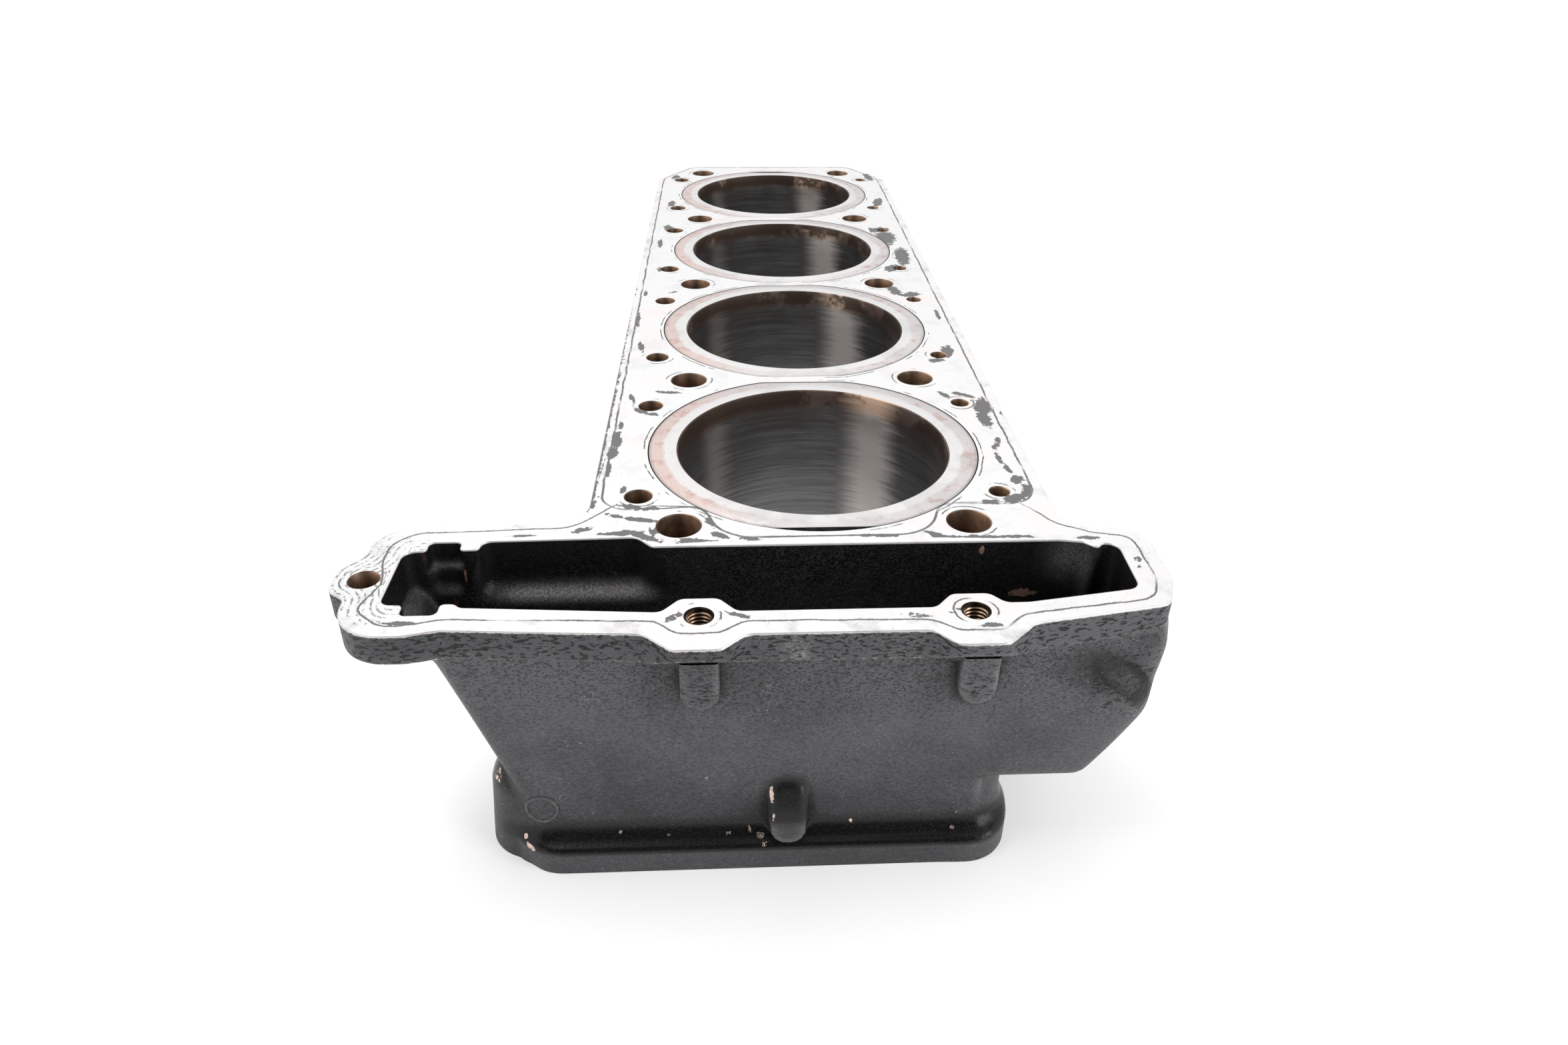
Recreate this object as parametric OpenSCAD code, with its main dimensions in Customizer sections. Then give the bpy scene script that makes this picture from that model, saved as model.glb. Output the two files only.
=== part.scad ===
// Closed-deck four-cylinder engine block: one casting with a chain tunnel across its front end,
// four wet liners that hang by their collars in the deck, and a seal ring round each liner's foot.
// Lengths are in millimetres. Every module draws with bore 1 on the axis x = 0, y = 0, the row of
// bores running along +Y and the deck at z = 0. in_place() then stands the part on its base.

/* [Bores and liners] */
// Diameter of each honed bore
bore_d = 76; // [68:0.5:77]
// Thickness of the liner's wall where the coolant touches it
liner_wall = 3.5; // [3:0.1:4]
// Gap for coolant between neighbouring liners
liner_space = 11; // [9.5:0.1:14]
// Step from the liner's wall in to its foot, in the base plate
foot_step = 0.3; // [0.1:0.1:0.6]
// Width of the collar beyond the liner's wall
collar_w = 4.8; // [4:0.1:5]
// Width of the web between two collars' flat sides
collar_web = 5; // [4.4:0.1:6]
// Thickness of the collar
collar_t = 8; // [6:0.5:9]
// Gap between the liner's foot and the base face
foot_lift = 0.4; // [0.2:0.1:2]
// Height of the seal ring's groove in the base plate
seal_h = 3.2; // [2.4:0.1:4]
// Depth of the seal ring's groove
seal_depth = 2.2; // [1.5:0.1:3]

/* [Casting] */
// Height from the base face to the deck
block_h = 70; // [68:1:90]
// Half width of the deck along the row of bores
deck_half_w = 59.5; // [58.5:0.5:64]
// Thickness of the deck over the water jacket
deck_t = 12; // [11:0.5:14]
// Thickness of the base plate under the water jacket
base_t = 12; // [10:0.5:14]
// Thickness of the flange round the deck
flange_t = 8; // [6:0.5:10]
// Thickness of the flange round the base
base_flange_t = 7; // [5:0.5:9]
// How far the side walls stand back from the deck's edge
side_inset = 2.6; // [1.5:0.1:3.5]
// How far the base flange stands out beyond the deck's edge
base_outset = 1.5; // [0.5:0.1:3]
// Distance from the last bore's centre to the far end
far_wall = 59.4; // [58:0.2:70]
// Thickness of the walls round the water jacket
wall_t = 5; // [4:0.5:6]

/* [Studs and coolant holes] */
// Diameter of each stud hole
stud_d = 11; // [9:0.5:12]
// Distance of the stud holes from the row's centre line
stud_x = 36.3; // [35.8:0.1:37.5]
// Distance of the end pairs of studs from the end bores' centres
stud_end = 42.7; // [42:0.1:46]
// Diameter of the column round each stud hole in the jacket
column_d = 19; // [17:0.5:21]
// Distance of the coolant holes from the row's centre line
coolant_x = 47.3; // [46:0.1:48]
// Distance of the coolant holes from each bore centre, along the row
coolant_y = 27.8; // [26:0.1:29]
// Diameter of the coolant holes on the left
coolant_left_d = 7; // [5:0.2:8]
// Diameter of the coolant holes on the right
coolant_right_d = 5.2; // [4:0.2:7]

/* [Chain tunnel end] */
// Distance from bore 1 to the tunnel's far wall
tunnel_far = 52.3; // [52:0.1:54]
// Distance from bore 1 to the tunnel's near wall
tunnel_near = 79.1; // [76:0.1:80]
// Distance from bore 1 to the flange's front edge
flange_front = 87.7; // [86.5:0.1:92]
// Distance from bore 1 to the foot of the front wall
wall_foot = 84.5; // [84:0.1:85.5]
// Distance from bore 1 to the front of the base flange
base_front = 89.4; // [88.6:0.1:92]
// Height of the underside of the right overhang, below the deck
overhang_drop = 46.3; // [44:0.1:48]
// Depth of the shallow pan under the left end of the tunnel
pan_depth = 10.5; // [9:0.5:12]
// Diameter of the hole in the left ear
ear_d = 6.8; // [5:0.2:8]

/* [Bosses] */
// Tapping diameter of the two cover holes
cover_d = 5; // [4.2:0.1:6.8]
// Depth of the two cover holes
cover_depth = 14; // [10:1:16]
// Width of the bosses on the front wall
boss_w = 8.5; // [7:0.5:10]
// Radius of the fillet beside each boss
boss_fillet = 2; // [1:0.5:3]
// Depth below the deck to which the upper bosses reach
boss_drop = 21.8; // [19:0.2:24]
// Thickness of the flange's swellings round the cover holes, at their front
swelling_t = 3.8; // [3:0.2:5.6]

/* [Hidden] */
$fn = 96;
// Largest turn between two points of a rounded outline corner, in degrees
arc_step = 10;
// How far a cut runs past the face it opens
past = 1;
bore_count = 4;
barrel_d = bore_d + 2 * liner_wall;
foot_d = barrel_d - 2 * foot_step;
collar_d = barrel_d + 2 * collar_w;
bore_pitch = barrel_d + liner_space;
// Distance from the bore centre to each flat side of the collar
collar_flat = (bore_pitch - collar_web) / 2;
last_y = (bore_count - 1) * bore_pitch;
far_y = last_y + far_wall;
paint = [0.07, 0.075, 0.08];
iron = [0.62, 0.61, 0.58];
rubber = [0.05, 0.05, 0.05];
// Clearances
collar_gap = 0.1;
barrel_gap = 0.2;
foot_gap = 0.05;
seal_gap = 0.03;
// The flange stands this far proud of the wall under it
flange_lip = 0.6;
// Widening of the body's walls from the deck to the base, by the casting's draft
draft = 1;
// Places along the row where the body's walls and the housing's solids begin
body_front = -46;
housing_back = -40;
// Corner of the far end of the body
end_cut = 16;
end_run_up = 27.4;
end_r = 22;
// Water jacket
jacket_r = collar_d / 2 + 0.2;
jacket_half_w = deck_half_w - side_inset - wall_t;
jacket_end = 38;
jacket_floor = base_t - block_h;
stud_rows = [-stud_end, 0.5 * bore_pitch, 1.5 * bore_pitch, 2.5 * bore_pitch, last_y + stud_end];
// Thickness of the pan's floor, and depth of the notch in its near wall
pan_floor_t = 3.5;
notch_depth = 6;
// Ear and arm at the left end of the deck flange
ear_x = -107;
ear_y = -64.4;
ear_r = 7.2;
arm_x = -109.4;
arm_far = -41;
arm_near = -86.1;
// Right end of the deck flange
right_x = 78.9;
right_far = -46.4;
right_near = -80;
// Cover holes and the bosses round them
cover_y = -80.9;
cover_left = -30.6;
cover_right = 30.4;
cover_boss_front = -93;
// Bosses and lugs on the front wall
low_boss_x = -10.8;
boss_front = -89.8;
low_boss_top = 43;
left_lug = [-73, -73];
right_lug = [33, -74];
lug_r = 10;
lug_top = 43;
mark = [-69.7, -55.1];
mark_r = 4;
mark_h = 0.4;
// Underside of the right overhang
overhang_corner = 60.5;
overhang_shoulder = [78.9, 26.2];
neck_x = 36;
base_right = 43.6;
base_left = -75.5;
// Rounding of the base flange's front edge, and height of the fillet over it
base_edge = 1;
foot_fillet = 6;
// Corner radius of the front wall's two vertical edges
fold_r = 3;

function unit(v) = v / norm(v);
function short_way(a) = a > 180 ? a - 360 : (a < -180 ? a + 360 : a);

// Arc of radius r that rounds the corner at b, between its neighbours a and c.
function corner(a, b, c, r) =
    let (u = unit(a - b), v = unit(c - b))
    let (half = acos(u * v) / 2)
    let (m = b + unit(u + v) * r / sin(half))
    let (p = b + u * r / tan(half), q = b + v * r / tan(half))
    let (start = atan2(p.y - m.y, p.x - m.x))
    let (sweep = short_way(atan2(q.y - m.y, q.x - m.x) - start))
    let (n = max(2, ceil(abs(sweep) / arc_step)))
    [for (i = [0 : n]) m + r * [cos(start + sweep * i / n), sin(start + sweep * i / n)]];

// Closed outline through rows of [x, y, corner radius].
function outline(rows) =
    let (n = len(rows), p = [for (row = rows) [row.x, row.y]])
    [for (i = [0 : n - 1])
        each (rows[i][2] > 0 ? corner(p[(i + n - 1) % n], p[i], p[(i + 1) % n], rows[i][2]) : [p[i]])];

// Rows of the flange's swelling round a cover hole at x.
function swelling(x, left, right) = [
    [x + left[0], left[1], 4],
    [x - 5.6, cover_boss_front, 4],
    [x + 5, cover_boss_front, 4],
    [x + right[0], right[1], 4]
];

// Rows of the tunnel's near wall where it bends round a cover hole at x.
function bend(x, depth) = [
    [x - 8.6, -tunnel_near, 3],
    [x - 4.4, -tunnel_near + 5, 3],
    [x + 4.3, -tunnel_near + 5, 3],
    [x + depth[0], depth[1], 3]
];

deck_rows = concat(
    [
        [-deck_half_w, arm_far + 0.3, 9],
        [arm_x, arm_far, 10.5],
        [arm_x, ear_y + 9.9, 6],
        [ear_x - ear_r, ear_y + 4.4, 4],
        [ear_x - ear_r, ear_y - 4.2, 4.5],
        [arm_x, ear_y - 7.6, 3],
        [arm_x, arm_near, 11.5],
        [-93.5, arm_near, 12],
        [-85.5, -flange_front + 3.4, 8]
    ],
    swelling(cover_left, [-11.9, -flange_front + 0.6], [10.4, -flange_front]),
    swelling(cover_right, [-10.4, -flange_front], [12.2, -flange_front + 1.8]),
    [
        [right_x - 4.1, right_near, 5],
        [right_x, right_near + 10.5, 16],
        [right_x, right_far, 9],
        [deck_half_w, right_far, 8.5],
        [deck_half_w, far_y - end_run_up, end_r],
        [deck_half_w - end_cut, far_y, 6],
        [end_cut - deck_half_w, far_y, 6],
        [-deck_half_w, far_y - end_run_up, end_r]
    ]
);

slot_rows = concat(
    [
        [-101, -52.9, 3.5],
        [-101, -74.5, 2.5],
        [-84.6, -74.5, 2],
        [-83, -76, 2]
    ],
    bend(cover_left, [8.4, -tunnel_near]),
    bend(cover_right, [7.4, -tunnel_near + 1.3]),
    [
        [cover_right + 12.6, -tunnel_near + 1.3, 6],
        [right_x - 9.1, right_near + 6.8, 3.5],
        [right_x - 8.4, right_near + 25.8, 3],
        [66.9, -54.2, 0.8],
        [65.1, -56, 1],
        [62.3, -53.3, 1.5],
        [56.5, -tunnel_far, 4]
    ]
);

base_rows = [
    [-deck_half_w - base_outset, body_front, 5],
    [base_left, -48, 6],
    [base_left, -84.9, 1.5],
    [-67.6, -base_front, 10],
    [base_right, -base_front, 10.6],
    [base_right, -52, 6],
    [deck_half_w + base_outset, body_front, 4],
    [deck_half_w + base_outset, far_y - end_run_up + 0.6, end_r],
    [deck_half_w - end_cut + 1, far_y + base_outset, 6],
    [end_cut - 1 - deck_half_w, far_y + base_outset, 6],
    [-deck_half_w - base_outset, far_y - end_run_up + 0.6, end_r]
];

module in_place() {
    low = [ear_x - ear_r, cover_boss_front, -block_h];
    high = [right_x, far_y + base_outset, 0];
    translate([-(low.x + high.x) / 2, -(low.y + high.y) / 2, block_h])
    children();
}

// Slab of an outline between two heights.
module slab(rows, z0, z1) {
    translate([0, 0, z0])
    linear_extrude(z1 - z0)
    polygon(outline(rows));
}

// Prism of an x-z outline between two places along Y.
module across(rows, y0, y1) {
    translate([0, y1, 0])
    rotate([90, 0, 0])
    linear_extrude(y1 - y0)
    polygon(outline(rows));
}

// Prism of a y-z outline between two places along X.
module along(rows, x0, x1) {
    translate([x0, 0, 0])
    rotate([90, 0, 90])
    linear_extrude(x1 - x0)
    polygon(outline(rows));
}

// Upright cylinder between two heights.
module upright(x, y, d, z0, z1) {
    translate([x, y, z0])
    cylinder(d = d, h = z1 - z0);
}

// Upright round post, thin enough to be one height of a lofted hull.
module post(x, y, z, r) {
    translate([x, y, z])
    cylinder(r = r, h = 0.01, $fn = 32);
}

// Walls of the water jacket under the deck, leaning out by the casting's draft.
module jacket_walls() {
    wide = deck_half_w - side_inset + draft;
    rows = [
        [-wide, body_front, 0],
        [wide, body_front, 0],
        [wide, far_y - end_run_up - 0.6, end_r - 1],
        [deck_half_w - end_cut - 1.4, far_y - side_inset + draft, 5],
        [end_cut + 1.4 - deck_half_w, far_y - side_inset + draft, 5],
        [-wide, far_y - end_run_up - 0.6, end_r - 1]
    ];
    profile = [
        [draft - wide, 0, 0],
        [-wide, -block_h, 0],
        [wide, -block_h, 0],
        [wide - draft, 0, 0]
    ];
    intersection() {
        slab(rows, -block_h + past, -past);
        across(profile, body_front - past, far_y + past);
    }
}

// Fillet in the inner corner of a wall at x = 0 and a flange over it at z = 0, running along +Y.
module fillet_strip(r, length) {
    difference() {
        translate([-0.5, 0, -r])
        cube([r + 0.5, length, r + 0.5]);
        translate([r, -past, -r])
        rotate([-90, 0, 0])
        cylinder(r = r, h = length + 2 * past);
    }
}

// Columns round the first pair of stud holes, which stand out from the body's front.
module front_columns() {
    for (side = [-1, 1])
        upright(side * stud_x, -stud_end, column_d, -block_h, -flange_t);
}

// Fillets between the body's walls and the two flanges, along both sides and the far end.
module wall_fillets() {
    foot = base_flange_t - block_h;
    side_run = far_y - end_run_up - 0.6 - housing_back;
    end_run = 2 * (deck_half_w - end_cut - 5);
    for (side = [0, 1])
        mirror([side, 0, 0]) {
            translate([deck_half_w - side_inset, housing_back, -flange_t])
            fillet_strip(side_inset, side_run);
            translate([deck_half_w - side_inset + draft, housing_back, foot])
            mirror([0, 0, 1])
            fillet_strip(side_inset + base_outset - draft, side_run);
        }
    translate([end_run / 2, far_y - side_inset + draft, 0])
    rotate([0, 0, 90]) {
        translate([0, 0, -flange_t])
        fillet_strip(side_inset - draft, end_run);
        translate([0, 0, foot])
        mirror([0, 0, 1])
        fillet_strip(side_inset + base_outset - draft, end_run);
    }
}

// Block of space behind the drafted plane of the front wall.
module behind_front() {
    rise = (flange_front - flange_lip - wall_foot) / (block_h - base_flange_t - flange_t);
    rows = [
        [housing_back, 0, 0],
        [-wall_foot - rise * (block_h - base_flange_t), 0, 0],
        [-wall_foot + rise * base_flange_t, -block_h, 0],
        [housing_back, -block_h, 0]
    ];
    along(rows, ear_x - ear_r, right_x + past);
}

// Lofted housing of the tunnel, from the flange down to the base.
module housing_neck() {
    top = -flange_t;
    foot = base_flange_t - block_h;
    front = -flange_front + flange_lip + fold_r;
    foot_front = -wall_foot + fold_r - 0.3;
    hull() {
        post(-99, -54, top, 7);
        post(-94.5, -63, top, 7);
        post(-85, front + 3.2, top, fold_r);
        post(-42, front + 0.5, top, fold_r);
        post(neck_x - fold_r, front, top, fold_r);
        post(neck_x - fold_r, -45, top, fold_r);
        post(-66, -54, foot, 6);
        post(-66, -70, foot, 6);
        post(-67, foot_front, foot, fold_r);
        post(neck_x - fold_r, foot_front, foot, fold_r);
        post(neck_x - fold_r, -45, foot, fold_r);
    }
}

// Pan under the left end of the deck flange, with a front that slopes back towards its floor.
module left_pan() {
    floor_z = -pan_depth - pan_floor_t;
    rows = [
        [-106, -47, 6],
        [-106, -79.5, 6],
        [-84, -80.5, 6],
        [-60, -47, 0]
    ];
    side_rows = [
        [-46, -flange_t + past, 0],
        [-81.2, -flange_t + past, 0],
        [-75.5, floor_z, 3],
        [-46, floor_z, 0]
    ];
    intersection() {
        slab(rows, floor_z, -flange_t);
        along(side_rows, ear_x, housing_back);
    }
}

// Right overhang: the end follows the flange, the front stays flat below a sloping ledge.
module right_overhang() {
    end_rows = [
        [neck_x - 2, -flange_front + 2.4, 0],
        [cover_right + 12.2, -flange_front + 2.4, 3],
        [right_x - 4.7, right_near + 0.6, 5],
        [right_x - 0.6, right_near + 10.8, 16],
        [right_x - 0.6, right_far - 0.6, 9],
        [deck_half_w - side_inset, right_far - 0.6, 6],
        [deck_half_w - side_inset, -30, 0],
        [neck_x - 2, -30, 0]
    ];
    under_rows = [
        [neck_x - 2, 0, 0],
        [neck_x - 2, -overhang_drop, 0],
        [overhang_corner, -overhang_drop, 4],
        [overhang_shoulder.x, -overhang_shoulder.y, 9],
        [overhang_shoulder.x, 0, 0]
    ];
    ledge_rows = [
        [neck_x - 2, -flange_t, 0],
        [neck_x - 2, -overhang_drop, 0],
        [overhang_corner, -overhang_drop, 4],
        [75.4, -29.8, 2],
        [73.2, -27, 3],
        [61, -14.5, 8],
        [52, -flange_t, 0]
    ];
    intersection() {
        slab(end_rows, -overhang_drop, -flange_t);
        across(under_rows, -flange_front - past, housing_back);
    }
    across(ledge_rows, -flange_front, -60);
}

// Base flange with a rounded front edge, and the plate of the base inside it.
module base_flange() {
    top = base_flange_t - block_h;
    edge_rows = [
        [far_y + base_outset + past, -block_h, 0],
        [-base_front, -block_h, 0],
        [-base_front, top, base_edge],
        [far_y + base_outset + past, top, 0]
    ];
    intersection() {
        slab(base_rows, -block_h, top);
        along(edge_rows, base_left - lug_r, deck_half_w + base_outset + past);
    }
    intersection() {
        slab(base_rows, top - past, top + foot_fillet);
        front_foot_fillet(top);
    }
}

// Fillet between the front wall and the top of the base flange, taller than it is deep.
module front_foot_fillet(top) {
    near = -base_front + base_edge;
    depth = -wall_foot - near;
    curve = [for (a = [270 : 10 : 360]) [near + depth * cos(a), top + foot_fillet * (1 + sin(a))]];
    translate([base_left, 0, 0])
    rotate([90, 0, 90])
    linear_extrude(31 - base_left)
    polygon(concat([[-60, top - past], [near, top - past]], curve, [[-60, top + foot_fillet]]));
}

module liner_seats() {
    seat_r = collar_d / 2 + collar_gap;
    seat_flat = collar_flat + collar_gap;
    for (i = [0 : bore_count - 1]) {
        near = i == 0 ? seat_r + past : seat_flat;
        far = i == bore_count - 1 ? seat_r + past : seat_flat;
        translate([0, i * bore_pitch, 0]) {
            intersection() {
                upright(0, 0, 2 * seat_r, -collar_t, past);
                translate([-seat_r - past, -near, -collar_t - past])
                cube([2 * seat_r + 2 * past, near + far, collar_t + 3 * past]);
            }
            upright(0, 0, barrel_d + 2 * barrel_gap, -deck_t - past, -collar_t + past);
            upright(0, 0, foot_d + 2 * foot_gap, -block_h - past, jacket_floor + past);
            upright(0, 0, foot_d + 2 * seal_depth, -block_h + base_t / 2 - seal_h / 2, -block_h + base_t / 2 + seal_h / 2);
        }
    }
}

// Water jacket: one space round all the liners, crossed by the stud columns.
module water_jacket() {
    rows = [
        [-jacket_half_w, -jacket_end, 8],
        [jacket_half_w, -jacket_end, 8],
        [jacket_half_w, last_y + jacket_end - 6, 14],
        [34, last_y + 44, 6],
        [-34, last_y + 44, 6],
        [-jacket_half_w, last_y + jacket_end - 6, 14]
    ];
    difference() {
        union() {
            slab(rows, jacket_floor, -deck_t);
            upright(0, 0, 2 * jacket_r, jacket_floor, -deck_t);
            upright(0, last_y, 2 * jacket_r, jacket_floor, -deck_t);
        }
        for (side = [-1, 1])
            for (y = stud_rows)
                upright(side * stud_x, y, column_d, -block_h, 0);
    }
}

module stud_holes() {
    for (side = [-1, 1])
        for (y = stud_rows)
            upright(side * stud_x, y, stud_d, -block_h - past, past);
}

module coolant_holes() {
    for (i = [0 : bore_count - 1])
        for (end = [-1, 1]) {
            upright(-coolant_x, i * bore_pitch + end * coolant_y, coolant_left_d, -deck_t - past, past);
            upright(coolant_x, i * bore_pitch + end * coolant_y, coolant_right_d, -deck_t - past, past);
        }
}

// Flange round the deck. The swellings round the cover holes have a sloping underside.
module deck_flange() {
    rise = (flange_t - swelling_t) / (-cover_boss_front - flange_front);
    under_rows = [
        [-flange_front, -flange_t, 0],
        [-flange_front, -flange_t - past, 0],
        [cover_boss_front - past, -flange_t - past, 0],
        [cover_boss_front - past, -swelling_t + rise * past, 0]
    ];
    difference() {
        slab(deck_rows, -flange_t, 0);
        along(under_rows, ear_x, right_x);
    }
}

// Blind drilled hole for a cover screw, with its countersunk mouth and drill point.
module cover_hole(x) {
    upright(x, cover_y, cover_d, -cover_depth, past);
    translate([x, cover_y, -cover_depth - 1.5])
    cylinder(d1 = 0.2, d2 = cover_d, h = 1.5);
    translate([x, cover_y, -0.6])
    cylinder(d1 = cover_d, d2 = cover_d + 2.2, h = 1.1);
}

// Space the chain runs in: the slot in the deck, the right end's hollow and the sloped left end.
module chain_tunnel() {
    through_rows = [
        [-60, past, 0],
        [-60, -block_h - past, 0],
        [30, -block_h - past, 0],
        [30, -overhang_drop + wall_t, 3],
        [overhang_corner - 4, -overhang_drop + wall_t, 6],
        [right_x + 5, -20, 6],
        [right_x + 5, past, 0]
    ];
    slab(slot_rows, -pan_depth, past);
    intersection() {
        slab(slot_rows, -block_h - past, past);
        across(through_rows, -tunnel_near - past, housing_back);
    }
    hull() {
        post(-94, -tunnel_far - 5, -pan_depth + 0.5, 5);
        post(-90, -62, -pan_depth + 0.5, 5);
        post(-81, -74.5, -pan_depth + 0.5, 2);
        translate([-60, -77.6, -pan_depth + 0.5])
        cube([0.1, 77.6 - tunnel_far, 0.01]);
        post(-61.5, -tunnel_far - 5, -block_h - past, 5);
        post(-61.5, -72.6, -block_h - past, 5);
        translate([-60, -77.6, -block_h - past])
        cube([0.1, 77.6 - tunnel_far, 0.01]);
    }
}

// Shallow pockets cast into the tunnel's walls below the deck.
module tunnel_pockets() {
    far_pocket = [
        [-83.3, -tunnel_far - 0.5, 0],
        [-83.3, -48.6, 2.5],
        [-46.4, -47.9, 3],
        [-42.4, -tunnel_far - 0.5, 0]
    ];
    slab(far_pocket, -13, past);
    slab([[-95.8, -56, 0], [-95.8, -48.7, 1.5], [-88.1, -48.7, 1.5], [-88.1, -56, 0]], -5.5, past);
    slab([[-95.8, -72, 0], [-95.8, -78.6, 1.5], [-87.7, -78.6, 1.5], [-87.7, -72, 0]], -notch_depth, past);
}

// Upright boss under a cover hole, with a round foot and a fillet all round.
module upper_boss(x) {
    r = boss_w / 2;
    reach = -boss_front - wall_foot;
    foot_z = -boss_drop + r;
    translate([x, boss_front, 0]) {
        translate([-r, 0, foot_z])
        cube([boss_w, reach, -foot_z - swelling_t]);
        translate([0, reach, foot_z])
        rotate([90, 0, 0])
        cylinder(r = r, h = reach);
    }
    translate([x, -flange_front + 1.5, foot_z]) {
        for (side = [0, 1])
            mirror([side, 0, 0])
            linear_extrude(-foot_z - swelling_t)
            boss_fillet_section(r, -1);
        rotate([90, 0, 0])
        rotate([0, 0, 180])
        rotate_extrude(angle = 180)
        boss_fillet_section(r, 1);
    }
}

// Section of the fillet beside a boss of half width r, against a wall at y = 0, on the side out.
module boss_fillet_section(r, out) {
    f = boss_fillet;
    curve = [for (a = [270 : -15 : 180]) [r + f + f * cos(a), out * f * (1 + sin(a))]];
    polygon(concat([[r - 0.5, -out], [r + f, -out]], curve, [[r - 0.5, out * f]]));
}

// Low boss on the front wall, with a sloping top.
module low_boss() {
    r = boss_w / 2;
    side_rows = [
        [-80, -low_boss_top, 0],
        [-wall_foot - 1.2, -low_boss_top - 0.5, 2],
        [boss_front, -low_boss_top - 8, 4],
        [boss_front, -block_h + base_flange_t - 1, 0],
        [-80, -block_h + base_flange_t - 1, 0]
    ];
    front_rows = [
        [low_boss_x - r, -block_h, 0],
        [low_boss_x + r, -block_h, 0],
        [low_boss_x + r, -low_boss_top, r - 0.1],
        [low_boss_x - r, -low_boss_top, r - 0.1]
    ];
    intersection() {
        along(side_rows, low_boss_x - boss_w, low_boss_x + boss_w);
        across(front_rows, boss_front - past, -80);
    }
}

// Upright lug with a domed head, swelling towards its foot.
module left_lug() {
    translate([left_lug.x, left_lug.y, -block_h])
    cylinder(r1 = lug_r + 1.5, r2 = lug_r, h = block_h - lug_top - lug_r);
    translate([left_lug.x, left_lug.y, -lug_top - lug_r])
    sphere(r = lug_r);
}

module right_lug() {
    translate([right_lug.x, right_lug.y, -block_h])
    cylinder(r = lug_r, h = block_h - overhang_drop + past);
}

module cast_mark() {
    translate([mark.x, -wall_foot - mark_h - 0.2, mark.y])
    rotate([-90, 0, 0])
    difference() {
        cylinder(r = mark_r, h = 2);
        translate([0, 0, -past])
        cylinder(r = mark_r - 0.8, h = 1.2 + past);
    }
}

module cylinder_block() {
    color(paint)
    difference() {
        union() {
            deck_flange();
            jacket_walls();
            front_columns();
            wall_fillets();
            intersection() {
                behind_front();
                union() {
                    housing_neck();
                    right_overhang();
                }
            }
            left_pan();
            base_flange();
            upper_boss(cover_left);
            upper_boss(cover_right);
            low_boss();
            left_lug();
            right_lug();
            cast_mark();
        }
        liner_seats();
        water_jacket();
        stud_holes();
        coolant_holes();
        cover_hole(cover_left);
        cover_hole(cover_right);
        upright(ear_x, ear_y, ear_d, -flange_t - past, past);
        chain_tunnel();
        tunnel_pockets();
    }
}

module liner(i) {
    foot_z = foot_lift - block_h;
    top_chamfer = 0.5;
    foot_chamfer = 1.6;
    color(iron)
    translate([0, (i - 1) * bore_pitch, 0])
    difference() {
        union() {
            intersection() {
                upright(0, 0, collar_d, -collar_t, 0);
                translate([-collar_d / 2, -collar_flat, -collar_t - past])
                cube([collar_d, 2 * collar_flat, collar_t + 2 * past]);
            }
            upright(0, 0, barrel_d, jacket_floor, -collar_t + past);
            upright(0, 0, foot_d, foot_z, jacket_floor + past);
        }
        upright(0, 0, bore_d, -block_h - past, past);
        translate([0, 0, -top_chamfer])
        cylinder(d1 = bore_d, d2 = bore_d + 4 * top_chamfer, h = 2 * top_chamfer);
        translate([0, 0, foot_z - past])
        cylinder(d1 = bore_d + foot_chamfer + past, d2 = bore_d, h = 2 * foot_chamfer + past);
    }
}

// Seal ring with rounded corners, between the liner's foot and the floor of its groove.
module liner_seal(i) {
    corner_r = 0.6;
    inner = foot_d / 2 + seal_gap;
    w = seal_depth - 2 * seal_gap;
    h = seal_h - 4 * seal_gap;
    color(rubber)
    translate([0, (i - 1) * bore_pitch, -block_h + base_t / 2 - h / 2])
    rotate_extrude()
    polygon(outline([[inner, 0, corner_r], [inner + w, 0, corner_r], [inner + w, h, corner_r], [inner, h, corner_r]]));
}

in_place() cylinder_block();
in_place() liner(1);  // liner_1
in_place() liner(2);  // liner_2
in_place() liner(3);  // liner_3
in_place() liner(4);  // liner_4
in_place() liner_seal(1);  // liner_seal_1
in_place() liner_seal(2);  // liner_seal_2
in_place() liner_seal(3);  // liner_seal_3
in_place() liner_seal(4);  // liner_seal_4
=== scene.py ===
"""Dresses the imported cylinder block: cast housing, machined deck, honed liners, and the studio round them."""

import math

import bpy
import numpy as np
from bpy.props import FloatProperty, FloatVectorProperty, IntProperty, PointerProperty
from mathutils import Matrix, Vector
from mathutils.geometry import delaunay_2d_cdt


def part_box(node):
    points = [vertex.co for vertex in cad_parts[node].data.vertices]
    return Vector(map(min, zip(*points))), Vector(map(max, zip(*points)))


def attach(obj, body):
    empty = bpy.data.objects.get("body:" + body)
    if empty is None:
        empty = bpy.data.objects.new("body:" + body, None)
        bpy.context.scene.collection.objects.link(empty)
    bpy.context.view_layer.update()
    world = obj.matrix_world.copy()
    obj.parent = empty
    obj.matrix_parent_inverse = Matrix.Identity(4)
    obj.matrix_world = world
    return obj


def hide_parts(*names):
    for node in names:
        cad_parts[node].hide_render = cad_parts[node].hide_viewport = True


bl_info = {
    "name": "Cylinder block",
    "version": (1, 0, 0),
    "blender": (4, 5, 0),
    "location": "View3D > Sidebar > Block",
    "description": "Builds the block's casting, deck, liners and studio on the packed model",
    "category": "Object",
}

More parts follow.
